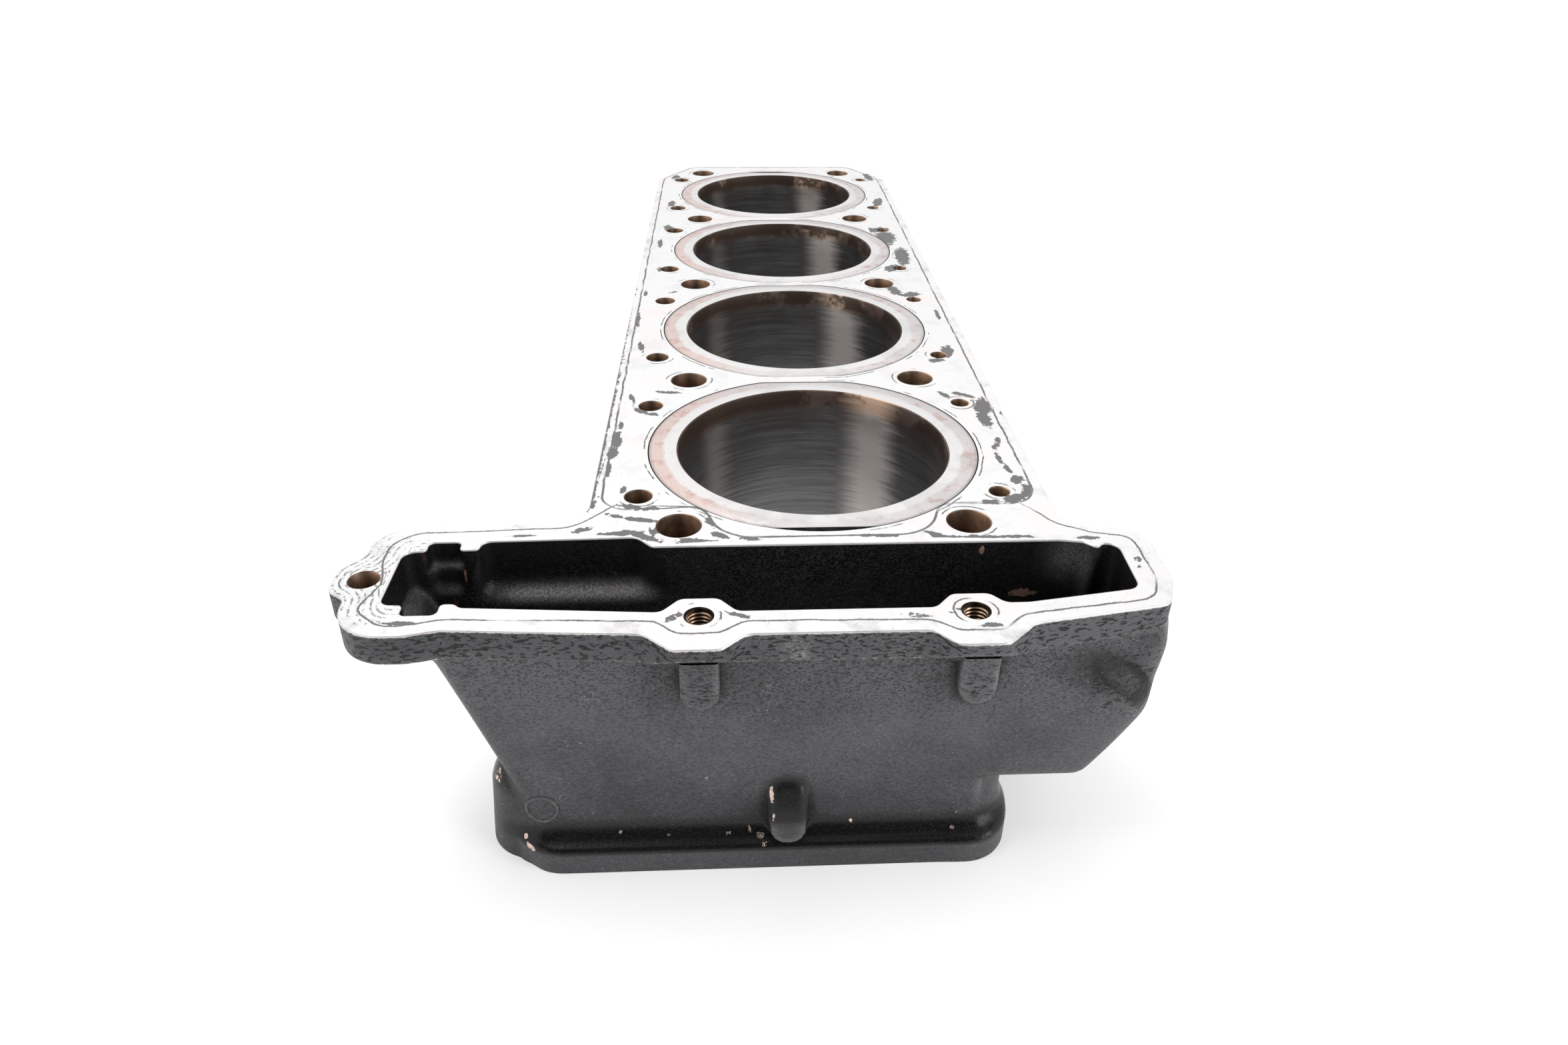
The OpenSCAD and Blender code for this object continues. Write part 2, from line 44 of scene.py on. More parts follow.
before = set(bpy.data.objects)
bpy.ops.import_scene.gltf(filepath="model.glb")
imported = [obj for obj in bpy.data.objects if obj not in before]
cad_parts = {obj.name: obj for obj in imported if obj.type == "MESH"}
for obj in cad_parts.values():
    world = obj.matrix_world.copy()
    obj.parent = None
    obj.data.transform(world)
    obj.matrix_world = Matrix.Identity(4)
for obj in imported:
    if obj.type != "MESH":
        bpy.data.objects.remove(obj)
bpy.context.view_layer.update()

# The shapes are worked out in millimetres, with bore 1's axis at x = 0, y = 0 and the deck at z = 0.
MM = 0.001
_low, _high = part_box("liner_1")
_next_low, _next_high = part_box("liner_2")
START = np.array([(_low.x + _high.x) / 2, (_low.y + _high.y) / 2, _high.z])
PITCH = round(((_next_low.y + _next_high.y) - (_low.y + _high.y)) / 2 / MM, 3)
HEIGHT = round(_high.z / MM, 3)
BORES = [PITCH * i for i in range(4)]
# Radii of the bores, and of the liners' barrels and feet.
BORE_R, BARREL_R, FOOT_R = 38.0, 41.5, 41.2
STUD_X, STUD_END = 36.3, 42.7
STUDS = [(x, y) for x in (-STUD_X, STUD_X)
         for y in (-STUD_END, 0.5 * PITCH, 1.5 * PITCH, 2.5 * PITCH, BORES[3] + STUD_END)]
COOLANT = [(x, y + e * 27.8, r) for x, r in ((-47.3, 3.5), (47.3, 2.6)) for y in BORES for e in (-1, 1)]
COVERS, COVER_Y, SCREW_R = (-30.6, 30.4), -80.9, 3.1
EAR, EAR_R = (-107.0, -64.4), 3.4
# The deck's far end, the flange's front edge and thickness, the slot's two walls and the base flange's front edge.
FAR, FRONT, FLANGE = BORES[3] + 59.4, -87.7, 8.0
NEAR_WALL, FAR_WALL, BASE_FRONT = -79.1, -52.3, -89.4
# The depth of the liners' seats, and the gap round their collars there.
SEAT, SEAT_GAP = 8.0, 0.1
# A pale smear on the front flange, in metres.
SMEAR = (0.0082, -0.2126, 0.065)


# ---------------------------------------------------------------- sizes and colours

class BlockSizes(bpy.types.PropertyGroup):
    bore: FloatProperty(name="Bore", description="Diameter of each honed bore", default=0.076, unit="LENGTH")
    collar: FloatProperty(name="Collar", description="Diameter of the liners' collars", default=0.0926, unit="LENGTH")
    flat: FloatProperty(name="Collar flat", description="Distance from the bore's axis to the collar's flat side",
                        default=0.0445, unit="LENGTH")
    stud: FloatProperty(name="Stud hole", description="Diameter of the stud holes", default=0.011, unit="LENGTH")
    rim: FloatProperty(name="Rim", description="Width of the broken edge round the machined deck", default=0.0003,
                       unit="LENGTH")
    cell: FloatProperty(name="Cell", description="Grid spacing of the cast surfaces", default=0.0008, unit="LENGTH")
    turns: IntProperty(name="Segments", description="Segments round a bore", default=192, min=48, max=512)


class BlockColours(bpy.types.PropertyGroup):
    paint: FloatVectorProperty(name="Paint", description="Black paint on the casting", subtype="COLOR", size=4,
                               default=(0.009, 0.009, 0.01, 1))
    haze: FloatVectorProperty(name="Haze", description="Dusty bloom on upright cast faces", subtype="COLOR", size=4,
                              default=(0.13, 0.13, 0.138, 1))
    deck: FloatVectorProperty(name="Deck", description="Machined aluminium", subtype="COLOR", size=4,
                              default=(0.8, 0.8, 0.8, 1))
    residue: FloatVectorProperty(name="Residue", description="Gasket left on the deck", subtype="COLOR", size=4,
                                 default=(0.115, 0.113, 0.112, 1))
    iron: FloatVectorProperty(name="Iron", description="Ground liner collars", subtype="COLOR", size=4,
                              default=(0.7, 0.69, 0.685, 1))
    carbon: FloatVectorProperty(name="Carbon", description="Brown carbon at the top of the bores", subtype="COLOR",
                                size=4, default=(0.05, 0.03, 0.02, 1))
    # The bronze is painted on the left-facing wall of each hole as a highlight.
    bronze: FloatVectorProperty(name="Bronze", description="Stained metal in the holes", subtype="COLOR", size=4,
                                default=(0.62, 0.4, 0.26, 1))


class StudioSizes(bpy.types.PropertyGroup):
    azimuth: FloatProperty(name="Azimuth", description="Turn of the camera round the block", subtype="ANGLE",
                           default=math.radians(3.0977))
    tilt: FloatProperty(name="Tilt", description="How far the camera looks down", subtype="ANGLE",
                        default=math.radians(31.0242))
    roll: FloatProperty(name="Roll", description="Roll of the camera", subtype="ANGLE", default=math.radians(-0.7012))
    lens: FloatProperty(name="Lens", description="Focal length in mm on a 36 mm sensor", default=24.714)
    place: FloatVectorProperty(name="Camera place", description="Camera, from bore 1's axis and the deck",
                               subtype="TRANSLATION", size=3, default=(-0.022611, -0.271847, 0.138426))
    sky: FloatProperty(name="Sky", description="Strength of the world's light", default=1.0)
    overhead: FloatProperty(name="Overhead", description="Strength of the light straight above, against the horizon's",
                            default=0.06, subtype="FACTOR")
    floor_glow: FloatProperty(name="Floor glow", description="Light that the floor adds to what the camera and "
                              "reflections see of it", default=0.4, subtype="FACTOR")


# ---------------------------------------------------------------- outlines and distances

def rounded(rows, step=6.0):
    """Closed outline through rows of x, y and corner radius: each corner is an arc tangent to both its sides."""
    pts = np.array([r[:2] for r in rows], float)
    out = []
    for i, (x, y, r) in enumerate(rows):
        b = pts[i]
        if r <= 0:
            out.append(b[None])
            continue
        u = pts[i - 1] - b
        v = pts[(i + 1) % len(rows)] - b
        u, v = u / np.linalg.norm(u), v / np.linalg.norm(v)
        half = math.acos(max(-1.0, min(1.0, float(u @ v)))) / 2
        mid = b + (u + v) / np.linalg.norm(u + v) * r / math.sin(half)
        p, q = b + u * r / math.tan(half), b + v * r / math.tan(half)
        a0 = math.atan2(p[1] - mid[1], p[0] - mid[0])
        sweep = (math.atan2(q[1] - mid[1], q[0] - mid[0]) - a0 + math.pi) % (2 * math.pi) - math.pi
        n = max(2, math.ceil(abs(math.degrees(sweep)) / step))
        a = a0 + sweep * np.linspace(0, 1, n + 1)
        out.append(mid + r * np.c_[np.cos(a), np.sin(a)])
    return np.concatenate(out)


def ring(x, y, r, n=48):
    """Circle of n points."""
    a = np.linspace(0, 2 * np.pi, n, endpoint=False)
    return np.c_[x + r * np.cos(a), y + r * np.sin(a)]


def grown(path, d):
    """Closed path moved outwards by d along the mean of its two sides' normals, keeping the sides' distance."""
    e = np.roll(path, -1, 0) - path
    e /= np.maximum(np.linalg.norm(e, axis=1, keepdims=True), 1e-9)
    area = np.sum(path[:, 0] * np.roll(path[:, 1], -1) - np.roll(path[:, 0], -1) * path[:, 1])
    n = np.c_[e[:, 1], -e[:, 0]] * np.sign(area)
    m = n + np.roll(n, 1, 0)
    m /= np.maximum(np.sum(m * m, 1, keepdims=True) / 2, 0.6)
    return path + m * d


def outline_distance(u, v, path):
    """Distance from (u, v) to a closed path's nearest side, negative inside by the count of sides crossed."""
    u, v = np.broadcast_arrays(u, v)
    shape = u.shape
    u, v = u.reshape(-1), v.reshape(-1)
    a, b = path, np.roll(path, -1, 0)
    d = b - a
    ll = np.maximum((d * d).sum(1), 1e-12)
    out = np.empty(u.size)
    batch = 20000
    for s in range(0, u.size, batch):
        pu, pv = u[s:s + batch, None], v[s:s + batch, None]
        t = np.clip(((pu - a[:, 0]) * d[:, 0] + (pv - a[:, 1]) * d[:, 1]) / ll, 0, 1)
        dist = np.hypot(pu - a[:, 0] - t * d[:, 0], pv - a[:, 1] - t * d[:, 1]).min(1)
        up = (a[:, 1] > pv) != (b[:, 1] > pv)
        slope = d[:, 0] / np.where(np.abs(d[:, 1]) < 1e-12, 1e-12, d[:, 1])
        odd = (up & (pu < a[:, 0] + (pv - a[:, 1]) * slope)).sum(1) % 2
        out[s:s + batch] = np.where(odd == 1, -dist, dist)
    return out.reshape(shape)


def within(u, v, rows):
    """Distance to the rounded outline of some rows."""
    return outline_distance(u, v, rounded(rows))


def join(a, b, k):
    """Union of two distances with a fillet about 0.85 k in radius."""
    if np.ndim(k) == 0 and k <= 0:
        return np.minimum(a, b)
    k = np.maximum(k, 1e-6)
    h = np.maximum(k - np.abs(a - b), 0) / k
    return np.minimum(a, b) - h * h * k / 4


def cut(a, b, k):
    """Intersection of two distances with an edge rounded about 0.85 k in radius."""
    return -join(-a, -b, k)


def loft(x, y, z, top, foot, z_top, z_foot, k):
    """Convex loft: at each height the outline is part way from top to foot, and a point's distance is the greatest of
    those to the outline's sides, with the edges between sides rounded."""
    t = (z_top - z) / (z_top - z_foot)
    corners = [(a + (c - a) * t, b + (d - b) * t) for (a, b), (c, d) in zip(top, foot)]
    d = None
    for (ax, ay), (bx, by) in zip(corners, corners[1:] + corners[:1]):
        ex, ey = bx - ax, by - ay
        s = ((x - ax) * ey - (y - ay) * ex) / np.hypot(ex, ey)
        d = s if d is None else cut(d, s, k)
    return d


def soft_step(value, low, high):
    """0 up to low, 1 from high on, and a smooth S between them."""
    t = np.clip((value - low) / (high - low), 0, 1)
    return t * t * (3 - 2 * t)


def ramp(value, low, width):
    """0 up to low, 1 from low + width on, and a straight slope between them."""
    return np.clip((value - low) / width, 0, 1)


def bell(*terms):
    """1 where all terms are 0, falling off as e to the minus sum of their squares."""
    return np.exp(-sum(t * t for t in terms))


def upright_capsule(u, v, w, cu, cv, top, r):
    """Round post with a domed head: distance to the axis below top, to the head's centre above it."""
    return np.sqrt((u - cu) ** 2 + (v - cv) ** 2 + np.maximum(w - top, 0) ** 2) - r


# ---------------------------------------------------------------- outlines of the casting

def swelling(x, left, right):
    """Four corners of the flange's swelling round the cover hole at x."""
    return [(x + left[0], left[1], 4), (x - 5.6, -93, 4), (x + 5, -93, 4), (x + right[0], right[1], 4)]


def bend(x, last):
    """Four corners of the slot's near wall where it stands back from the cover hole at x."""
    back = NEAR_WALL + 5
    return [(x - 8.6, NEAR_WALL, 3), (x - 4.4, back, 3), (x + 4.3, back, 3), (x + last[0], last[1], 3)]


DECK_ROWS = [
    (-59.5, -40.7, 9), (-109.4, -41, 10.5), (-109.4, -54.5, 6), (-114.2, -60, 4), (-114.2, -68.6, 4.5),
    (-109.4, -72, 3), (-109.4, -86.1, 11.5), (-93.5, -86.1, 12), (-85.5, FRONT + 3.4, 8),
    *swelling(COVERS[0], (-11.9, FRONT + 0.6), (10.4, FRONT)),
    *swelling(COVERS[1], (-10.4, FRONT), (12.2, FRONT + 1.8)),
    (74.8, -80, 5), (78.9, -69.5, 16), (78.9, -46.4, 9), (59.5, -46.4, 8.5),
    (59.5, FAR - 27.4, 22), (43.5, FAR, 6), (-43.5, FAR, 6), (-59.5, FAR - 27.4, 22),
]
SLOT_RIGHT = [
    (-84.6, -74.5, 2), (-83, -76, 2), *bend(COVERS[0], (8.4, NEAR_WALL)), *bend(COVERS[1], (7.4, NEAR_WALL + 1.3)),
    (43, NEAR_WALL + 1.3, 6), (69.8, -73.2, 3.5), (70.5, -54.2, 3), (66.9, -54.2, 0.8), (65.1, -56, 1),
    (62.3, -53.3, 1.5), (56.5, FAR_WALL, 4),
]
SLOT_ROWS = [(-101, -52.9, 3.5), (-101, -74.5, 2.5), *SLOT_RIGHT]
# The slot's outline at the deck also takes in the three pockets beside it.
RIM_ROWS = [
    (-101, -53, 3), (-101, -74.5, 2.5), (-95.8, -74.5, 1.2), (-95.8, -78.6, 1.5), (-87.7, -78.6, 1.5),
    (-87.7, -74.5, 1.2), *SLOT_RIGHT,
    (-42.4, -52.3, 2), (-46.4, -47.9, 3), (-83.3, -48.7, 2.5), (-83.5, -52.4, 1.4), (-88.1, -52.4, 1.2),
    (-88.1, -48.7, 1.5), (-95.8, -48.7, 1.5), (-95.8, -52.6, 1.2),
]
BASE_ROWS = [
    (-61, -46, 5), (-75.5, -48, 6), (-75.5, -84.9, 1.5), (-67.6, BASE_FRONT, 10), (43.6, BASE_FRONT, 10.6),
    (43.6, -52, 6), (61, -46, 4), (61, FAR - 26.8, 22), (44.5, FAR + 1.5, 6), (-44.5, FAR + 1.5, 6),
    (-61, FAR - 26.8, 22),
]
END_ROWS = [
    (28, -85.3, 0), (42.6, -85.3, 3), (74.5, -79.6, 5), (78.8, -69.2, 16), (78.8, -47, 9), (56.9, -47, 6),
    (56.9, -20, 0), (28, -20, 0),
]
UNDER_ROWS = [(28, 20, 0), (28, -46.3, 0), (60.5, -46.3, 4), (80.4, -24.6, 12), (80.4, 20, 0)]
THROUGH_ROWS = [
    (-62, 10, 0), (-62, -80, 0), (30, -80, 0), (30, -41.3, 3), (56.5, -41.3, 6), (84, -20, 6), (84, 10, 0),
]

# What the head gasket left: the line it pressed round the bores, and the one round the tunnel.
WATER_ROWS = [
    (-56.8, -34.9, 8), (-30.5, -33.6, 5), (-25.5, -48.7, 11), (25.5, -48.5, 11), (30.5, -33.4, 5), (56.3, -34.9, 8.5),
    (56.3, FAR - 28.5, 20), (42.5, FAR - 3.4, 6), (-42.5, FAR - 3.4, 6), (-56.8, FAR - 28.5, 20),
]
TUNNEL_ROWS = [
    (-52.8, -32.2, 0), (-62.5, -42.9, 8), (-104.2, -44.8, 8), (-104.8, -56, 4), (-102.6, -66, 5), (-105.6, -76, 4),
    (-98.6, -83.2, 6), (-85.5, -80.4, 5), (-40, -82.6, 3), (-35.6, -87, 4), (-26, -87.3, 4), (-20.6, -83, 4),
    (20.4, -83.8, 4), (25.4, -87.8, 4), (35.4, -88, 4), (40.4, -82.6, 4), (72, -77.4, 6), (74.8, -69, 8),
    (74.8, -51, 4), (66, -49, 5), (58, -44.6, 6), (50.8, -33.2, 0), (30.5, -33.4, 5), (25.5, -48.5, 11),
    (-25.5, -48.7, 11), (-30.5, -33.6, 5),
]
# Patches of gasket still stuck on: place, half length, half width, turn in degrees.
RESIDUE_ROWS = [
    (53.6, 24, 7, 2.6, 84), (52.4, 15.5, 5, 2, 96), (49.5, 33.6, 3.4, 1.3, -30), (43.4, 33.6, 2.6, 1.2, -60),
    (53.6, 2.2, 2.6, 0.9, 75), (51.6, -2, 2.2, 0.8, 60), (51.2, -9, 3.4, 0.9, 85), (52.2, -15, 3, 0.9, 100),
    (53.4, -21.6, 2.8, 1.5, 60), (54.6, -27.6, 4.4, 1.2, 78), (50.6, -31.6, 4.4, 1.7, 28), (43.8, -33.2, 2.8, 1.2, 10),
    (36, -50.4, 9, 0.8, 0), (45.6, -50.6, 5, 1, 0), (26.6, -48.6, 2.4, 1, -30), (13, -48.9, 5, 0.5, 0),
    (-55.6, 5, 6, 1.3, 92), (-56.1, -3, 4, 1.6, 85), (-56.4, -13, 4, 0.8, 90), (-55.4, 15, 3, 0.6, 95),
    (-53.2, 33.4, 3.6, 0.8, 100), (-42.2, 37.6, 4.6, 1, -8), (-50.2, 24.4, 2.6, 1.3, -50), (-46.6, 22, 2, 0.9, -30),
    (-51.4, -24.6, 3.4, 0.8, 80), (-48.4, -33.4, 4, 1.2, -20), (-43.6, -34, 2, 1, 0), (-45.6, -39.6, 4, 1, -12),
    (-52.6, -37.6, 3, 0.8, -20), (-58.6, -31, 3.2, 1.1, 80), (-52, -46.6, 7, 1.6, 12), (-45, -47.4, 5, 1.2, -30),
    (-60, -44, 3.6, 0.9, 18), (-41.4, -44.4, 3.4, 1, 70), (-31.6, -50.2, 6, 1.1, -8), (-28.6, -41, 3.4, 0.8, -70),
    (-26, -47.6, 3, 1, -35), (-19, -49.4, 3.4, 0.8, -5), (-22.4, -80.6, 3.2, 0.8, -25), (-36.6, -81.4, 2.6, 0.9, 40),
    (16.8, -82.2, 3.8, 0.7, -4), (32.8, -86.2, 2.4, 0.9, 0), (25.4, -81.4, 2.2, 0.5, 40), (-95, -81.6, 4, 0.7, 4),
    (-74, -46.2, 4, 0.6, 0), (64, -51.4, 3, 0.7, 0), (58.6, 20, 1.6, 0.5, 90), (73, -62, 5, 0.6, 88),
    (46, 202, 13, 4.6, 80), (50.6, 176, 12, 3, 86), (44, 160, 5, 2.6, 60), (45.4, 216, 5, 3.6, 20),
    (41.4, 132, 6, 2.2, 100), (47.4, 127.6, 4, 2.4, 20), (50.6, 69, 5, 2.2, 80), (45.6, 61.6, 3, 1.6, 10),
    (-50.4, 220, 5, 2, 90), (-51.4, 160, 3, 1.2, 90), (-53.4, 76, 5, 0.9, 95), (-56.2, 101, 8, 0.9, 90),
    (-50.6, 262, 5, 1.8, 90), (-50.6, 316, 5, 1.8, 80), (50.8, 264, 8, 2.2, 80), (52, 316, 8, 2, 95),
    (-53, 196, 6, 1, 92), (-44.4, 132, 2.6, 0.8, 30), (-55.4, 130, 4, 0.7, 90), (53.4, 105, 6, 0.9, 90),
]
# Chips in the paint low on the front: place, half width, half height, and how far the metal shows.
CHIP_ROWS = [
    (-72.9, -63.4, 1.7, 1.3, 0.85), (-74.2, -62.2, 0.9, 0.9, 0.8), (-14.7, -48.8, 0.8, 2.6, 0.85),
    (-14.4, -53.5, 0.6, 1.6, 0.7), (-51, -60.8, 0.7, 0.8, 0.8), (-39.6, -61.4, 0.6, 0.6, 0.75),
    (-25, -61.4, 0.8, 0.6, 0.8), (-20, -60.8, 0.6, 0.9, 0.85), (-17.4, -61.8, 1.2, 0.7, 0.9),
    (-16.4, -62.8, 0.8, 0.7, 0.8), (29.6, -61.4, 0.9, 0.5, 0.75), (4.6, -59.6, 0.7, 0.7, 0.9),
]


def low_boss(x, z):
    """Distance, seen from the front, to the upright middle line of the boss low on the front."""
    return np.hypot(x + 10.8, np.maximum(z + 49.6, 0) + np.minimum(z + 57.4, 0))


def housing(x, y, z):
    """Signed distance to the cast tunnel housing, from the deck flange's underside to the base."""
    top = [(-88, -83.9), (-42, -86.6), (36, -87.1), (36, -42), (-97, -46), (-106, -50), (-106, -58), (-103, -63)]
    foot = [(-70, -84.8), (-42, -84.6), (36, -84.5), (36, -42), (-71, -46), (-72.5, -49), (-72.5, -60), (-72.4, -66)]
    neck = loft(x, y, z, top, foot, -8, -63, 3.2)
    body = cut(np.abs(x) - 57.3, -(y + 46), 3)
    # How far a point is in front of the drafted front wall.
    front = -y - (87.1 - 0.0473 * (-FLANGE - z))
    # Below a sloping line the overhang's plan changes from the flange's outline to a flat lobe in the front plane.
    end = within(x, y, END_ROWS) - 1.4 * soft_step(x, 64, 74) * soft_step(-z, 4, 13)
    lobe = np.maximum(cut(front, x - 79.2, 5), y + 47)
    middle = 13.5 + 0.4 * (x - 60 + np.sqrt((x - 60) ** 2 + 16))
    half = 9 - 3 * soft_step(x, 54, 66)
    below = soft_step(-z, middle - half, middle + half)
    over = cut(end + (lobe - end) * below, within(x, z, UNDER_ROWS), 2.0)
    # Steeper slope that takes the overhang's front corner off.
    over = cut(over, 0.85 * (x - 74.6) - 0.312 * (y + 86) - 0.425 * (z + 22.6), 6)
    k = 2.5 * ramp(y, -84, 3)
    d = join(join(neck, over, k), body, k)
    # The shell under the slot's shallow left end.
    pan = within(x, y, [(-106, -47, 6), (-106, -79.5, 6), (-84, -80.5, 6), (-60, -47, 0)])
    pan = cut(cut(pan, -(z + 14), 2), -0.775 * (y + 81.2) - 0.631 * (z + 7), 3)
    d = join(d, pan, 2.5)
    # Columns round the two front studs, and the round column under the overhang.
    for cx in (-STUD_X, STUD_X):
        d = join(d, np.hypot(x - cx, y + STUD_END) - 9.5, 2)
    d = join(d, upright_capsule(x, y, z, 33, -74, -48, 10), 1.2)
    # Base flange, and the left lug, which widens towards it.
    plate = cut(within(x, y, BASE_ROWS), z + 63, 1.3)
    d = join(d, plate, 7.6)
    swell = 1.5 * ramp(-z, 53, 17)
    d = join(d, upright_capsule(x, y, z, -73, -73, -53, 10) - swell, 1.6)
    # Bosses under the two cover holes, then the low boss with its sloping top.
    for cx in COVERS:
        stem = np.hypot(x - cx, np.minimum(z + 14.4, 0)) - 4.3
        boss = cut(cut(stem, -y - 90.4 - 0.06 * (z + 22), 0.6), y + 72, 1)
        d = join(d, boss, 1.2)
    stem = low_boss(x, z) - 4.6 + 0.12 * (-y - 86)
    slope = -0.884 * (y + 85.2) + 0.468 * (z + 45.2)
    boss = cut(cut(cut(stem, -y - 90.1, 0.8), slope, 2.0), y + 72, 1)
    return join(d, boss, 1.3)


def tunnel(x, y, z):
    """Signed distance to the space the chain runs in, with the pockets beside it."""
    top = [(-84, -77), (-57, -84), (-57, -40), (-99, -40), (-99, -60), (-96, -66)]
    foot = [(-66, -78), (-57, -84), (-57, -40), (-66.5, -40), (-66.5, -60), (-66.4, -72)]
    floor = join(-(z + 10.5), within(x, z, THROUGH_ROWS), 3)
    d = cut(within(x, y, SLOT_ROWS), join(floor, loft(x, y, z, top, foot, -10, -71, 3), 3), 2.5)
    # Each pocket's outline, depth, and the rounding of its foot and of its edge with the slot.
    for rows, depth, foot_k, edge_k in (
            ([(-83.3, -56, 0), (-83.3, -48.7, 2.5), (-46.4, -47.9, 3), (-42.4, -52.3, 2), (-42.4, -56, 0)], 13, 4,
             2.4 + 3 * soft_step(-z, 3, 9)),
            ([(-95.8, -60, 0), (-95.8, -48.7, 1.5), (-88.1, -48.7, 1.5), (-88.1, -60, 0)], 5.5, 1, 1.6),
            ([(-95, -60, 0), (-95, -50.6, 1.5), (-88.8, -50.6, 1.5), (-88.8, -60, 0)], 11.5, 3, 3),
            ([(-95.8, -70, 0), (-95.8, -78.6, 1.5), (-87.7, -78.6, 1.5), (-87.7, -70, 0)], 6, 2, 0.6)):
        d = join(d, cut(within(x, y, rows), -(z + depth), foot_k), edge_k)
    return d


# ---------------------------------------------------------------- meshes

def linked(name, data):
    """New object of that data in the scene."""
    ob = bpy.data.objects.new(name, data)
    bpy.context.scene.collection.objects.link(ob)
    return ob


def piece(name, points, faces, materials, slot="casting", smooth=True, shade=None, uv=None, marks=None, replaces=()):
    """Mesh object from points in the shapes' millimetres and a face array, riding on the part."""
    me = bpy.data.meshes.new(name)
    co = np.asarray(points, float) * MM + START
    me.from_pydata(co.tolist(), [], faces.tolist())
    for m in materials:
        me.materials.append(m)
    if shade is not None:
        me.polygons.foreach_set("material_index", np.asarray(shade, np.int32))
    me.polygons.foreach_set("use_smooth", np.full(len(me.polygons), smooth))
    for key, values in (marks or {}).items():
        at = me.attributes.new(key, "FLOAT", "POINT")
        at.data.foreach_set("value", np.asarray(values, np.float32))
    if uv is not None:
        layer = me.uv_layers.new(name="UVMap")
        loops = np.empty(len(me.loops), np.int32)
        me.loops.foreach_get("vertex_index", loops)
        layer.data.foreach_set("uv", np.asarray(uv, np.float32)[loops].ravel())
    me.update()
    ob = linked(name, me)
    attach(ob, "root")
    if replaces:
        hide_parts(*replaces)
    return ob


def crease(ob, degrees):
    """Keeps edges sharper than the angle crisp, with the rest of the surface smooth."""
    ob.data.set_sharp_from_angle(angle=math.radians(degrees))


def strips(rings, closed=True, flip=False):
    """Faces of a lofted surface whose rings are rows of one array: one quad between neighbours on two rings."""
    k, n = rings
    i = np.arange(k - 1)[:, None]
    j = np.arange(n if closed else n - 1)[None, :]
    a, b = i * n + j, i * n + (j + 1) % n
    quads = np.stack([a, b, b + n, a + n], -1).reshape(-1, 4)
    return quads[:, ::-1] if flip else quads


def skin(distance, low, high, step, outward=True):
    """Surface of a distance function: one vertex in each grid cell that the surface crosses, at the mean of the
    crossings on the cell's edges, and one quad round each crossed edge."""
    axes = [np.arange(low[i], high[i] + step / 2, step) for i in range(3)]
    x, y, z = axes[0][:, None, None], axes[1][None, :, None], axes[2][None, None, :]
    f = np.broadcast_to(distance(x, y, z), tuple(len(a) for a in axes)).copy()
    n = np.array(f.shape)
    total = np.zeros((*(n - 1), 3), np.float32)
    count = np.zeros(n - 1, np.float32)
    crossed = []
    for ax in range(3):
        lo, hi = [slice(None)] * 3, [slice(None)] * 3
        lo[ax], hi[ax] = slice(0, -1), slice(1, None)
        a, b = f[tuple(lo)], f[tuple(hi)]
        hit = (a < 0) != (b < 0)
        t = np.where(hit, a / np.where(a == b, 1, a - b), 0)
        crossed.append((hit, a < 0))
        o1, o2 = [i for i in range(3) if i != ax]
        for s1 in (0, 1):
            for s2 in (0, 1):
                part = [slice(None)] * 3
                part[o1] = slice(s1, n[o1] - 1 + s1)
                part[o2] = slice(s2, n[o2] - 1 + s2)
                h, tt = hit[tuple(part)], t[tuple(part)]
                count += h
                total[..., ax] += tt
                total[..., o1] += h * s1
                total[..., o2] += h * s2
    live = count > 0
    if not live.any():
        raise ValueError("The surface crosses no cell of its grid")
    index = np.full(live.shape, -1, np.int64)
    index[live] = np.arange(live.sum())
    cells = np.argwhere(live)
    verts = np.array(low) + (cells + total[live] / count[live][:, None]) * step
    verts[:, 2] = np.maximum(verts[:, 2], -HEIGHT)
    quads = []
    for ax in range(3):
        hit, inside = crossed[ax]
        o1, o2 = [(1, 2), (2, 0), (0, 1)][ax]
        part = [slice(None)] * 3
        part[o1], part[o2] = slice(1, n[o1] - 1), slice(1, n[o2] - 1)
        at = np.argwhere(hit[tuple(part)])
        if not len(at):
            continue
        at[:, o1] += 1
        at[:, o2] += 1
        side = inside[tuple(at.T)]
        corner = []
        for d1, d2 in ((1, 1), (0, 1), (0, 0), (1, 0)):
            c = at.copy()
            c[:, o1] -= d1
            c[:, o2] -= d2
            corner.append(index[tuple(c.T)])
        q = np.stack(corner, 1)
        q[~side] = q[~side][:, ::-1]
        quads.append(q)
    quads = np.concatenate(quads)
    return verts, quads if outward else quads[:, ::-1]


def convexity(verts, quads):
    """How much each vertex stands out from its neighbours' mean along its normal, in millimetres, smoothed twice."""
    n = np.cross(verts[quads[:, 2]] - verts[quads[:, 0]], verts[quads[:, 3]] - verts[quads[:, 1]])
    normal = np.zeros_like(verts)
    for c in range(4):
        np.add.at(normal, quads[:, c], n)
    normal /= np.maximum(np.linalg.norm(normal, axis=1, keepdims=True), 1e-9)
    e = np.concatenate([quads[:, [i, (i + 1) % 4]] for i in range(4)])
    degree = np.bincount(e[:, 0], minlength=len(verts)) + np.bincount(e[:, 1], minlength=len(verts))
    degree = np.maximum(degree, 1)

    def mean(values):
        out = np.zeros_like(values)
        np.add.at(out, e[:, 0], values[e[:, 1]])
        np.add.at(out, e[:, 1], values[e[:, 0]])
        return out / (degree[:, None] if values.ndim > 1 else degree)

    out = np.sum((verts - mean(verts)) * normal, 1)
    for _ in range(2):
        out = (out + mean(out)) / 2
    return out, normal


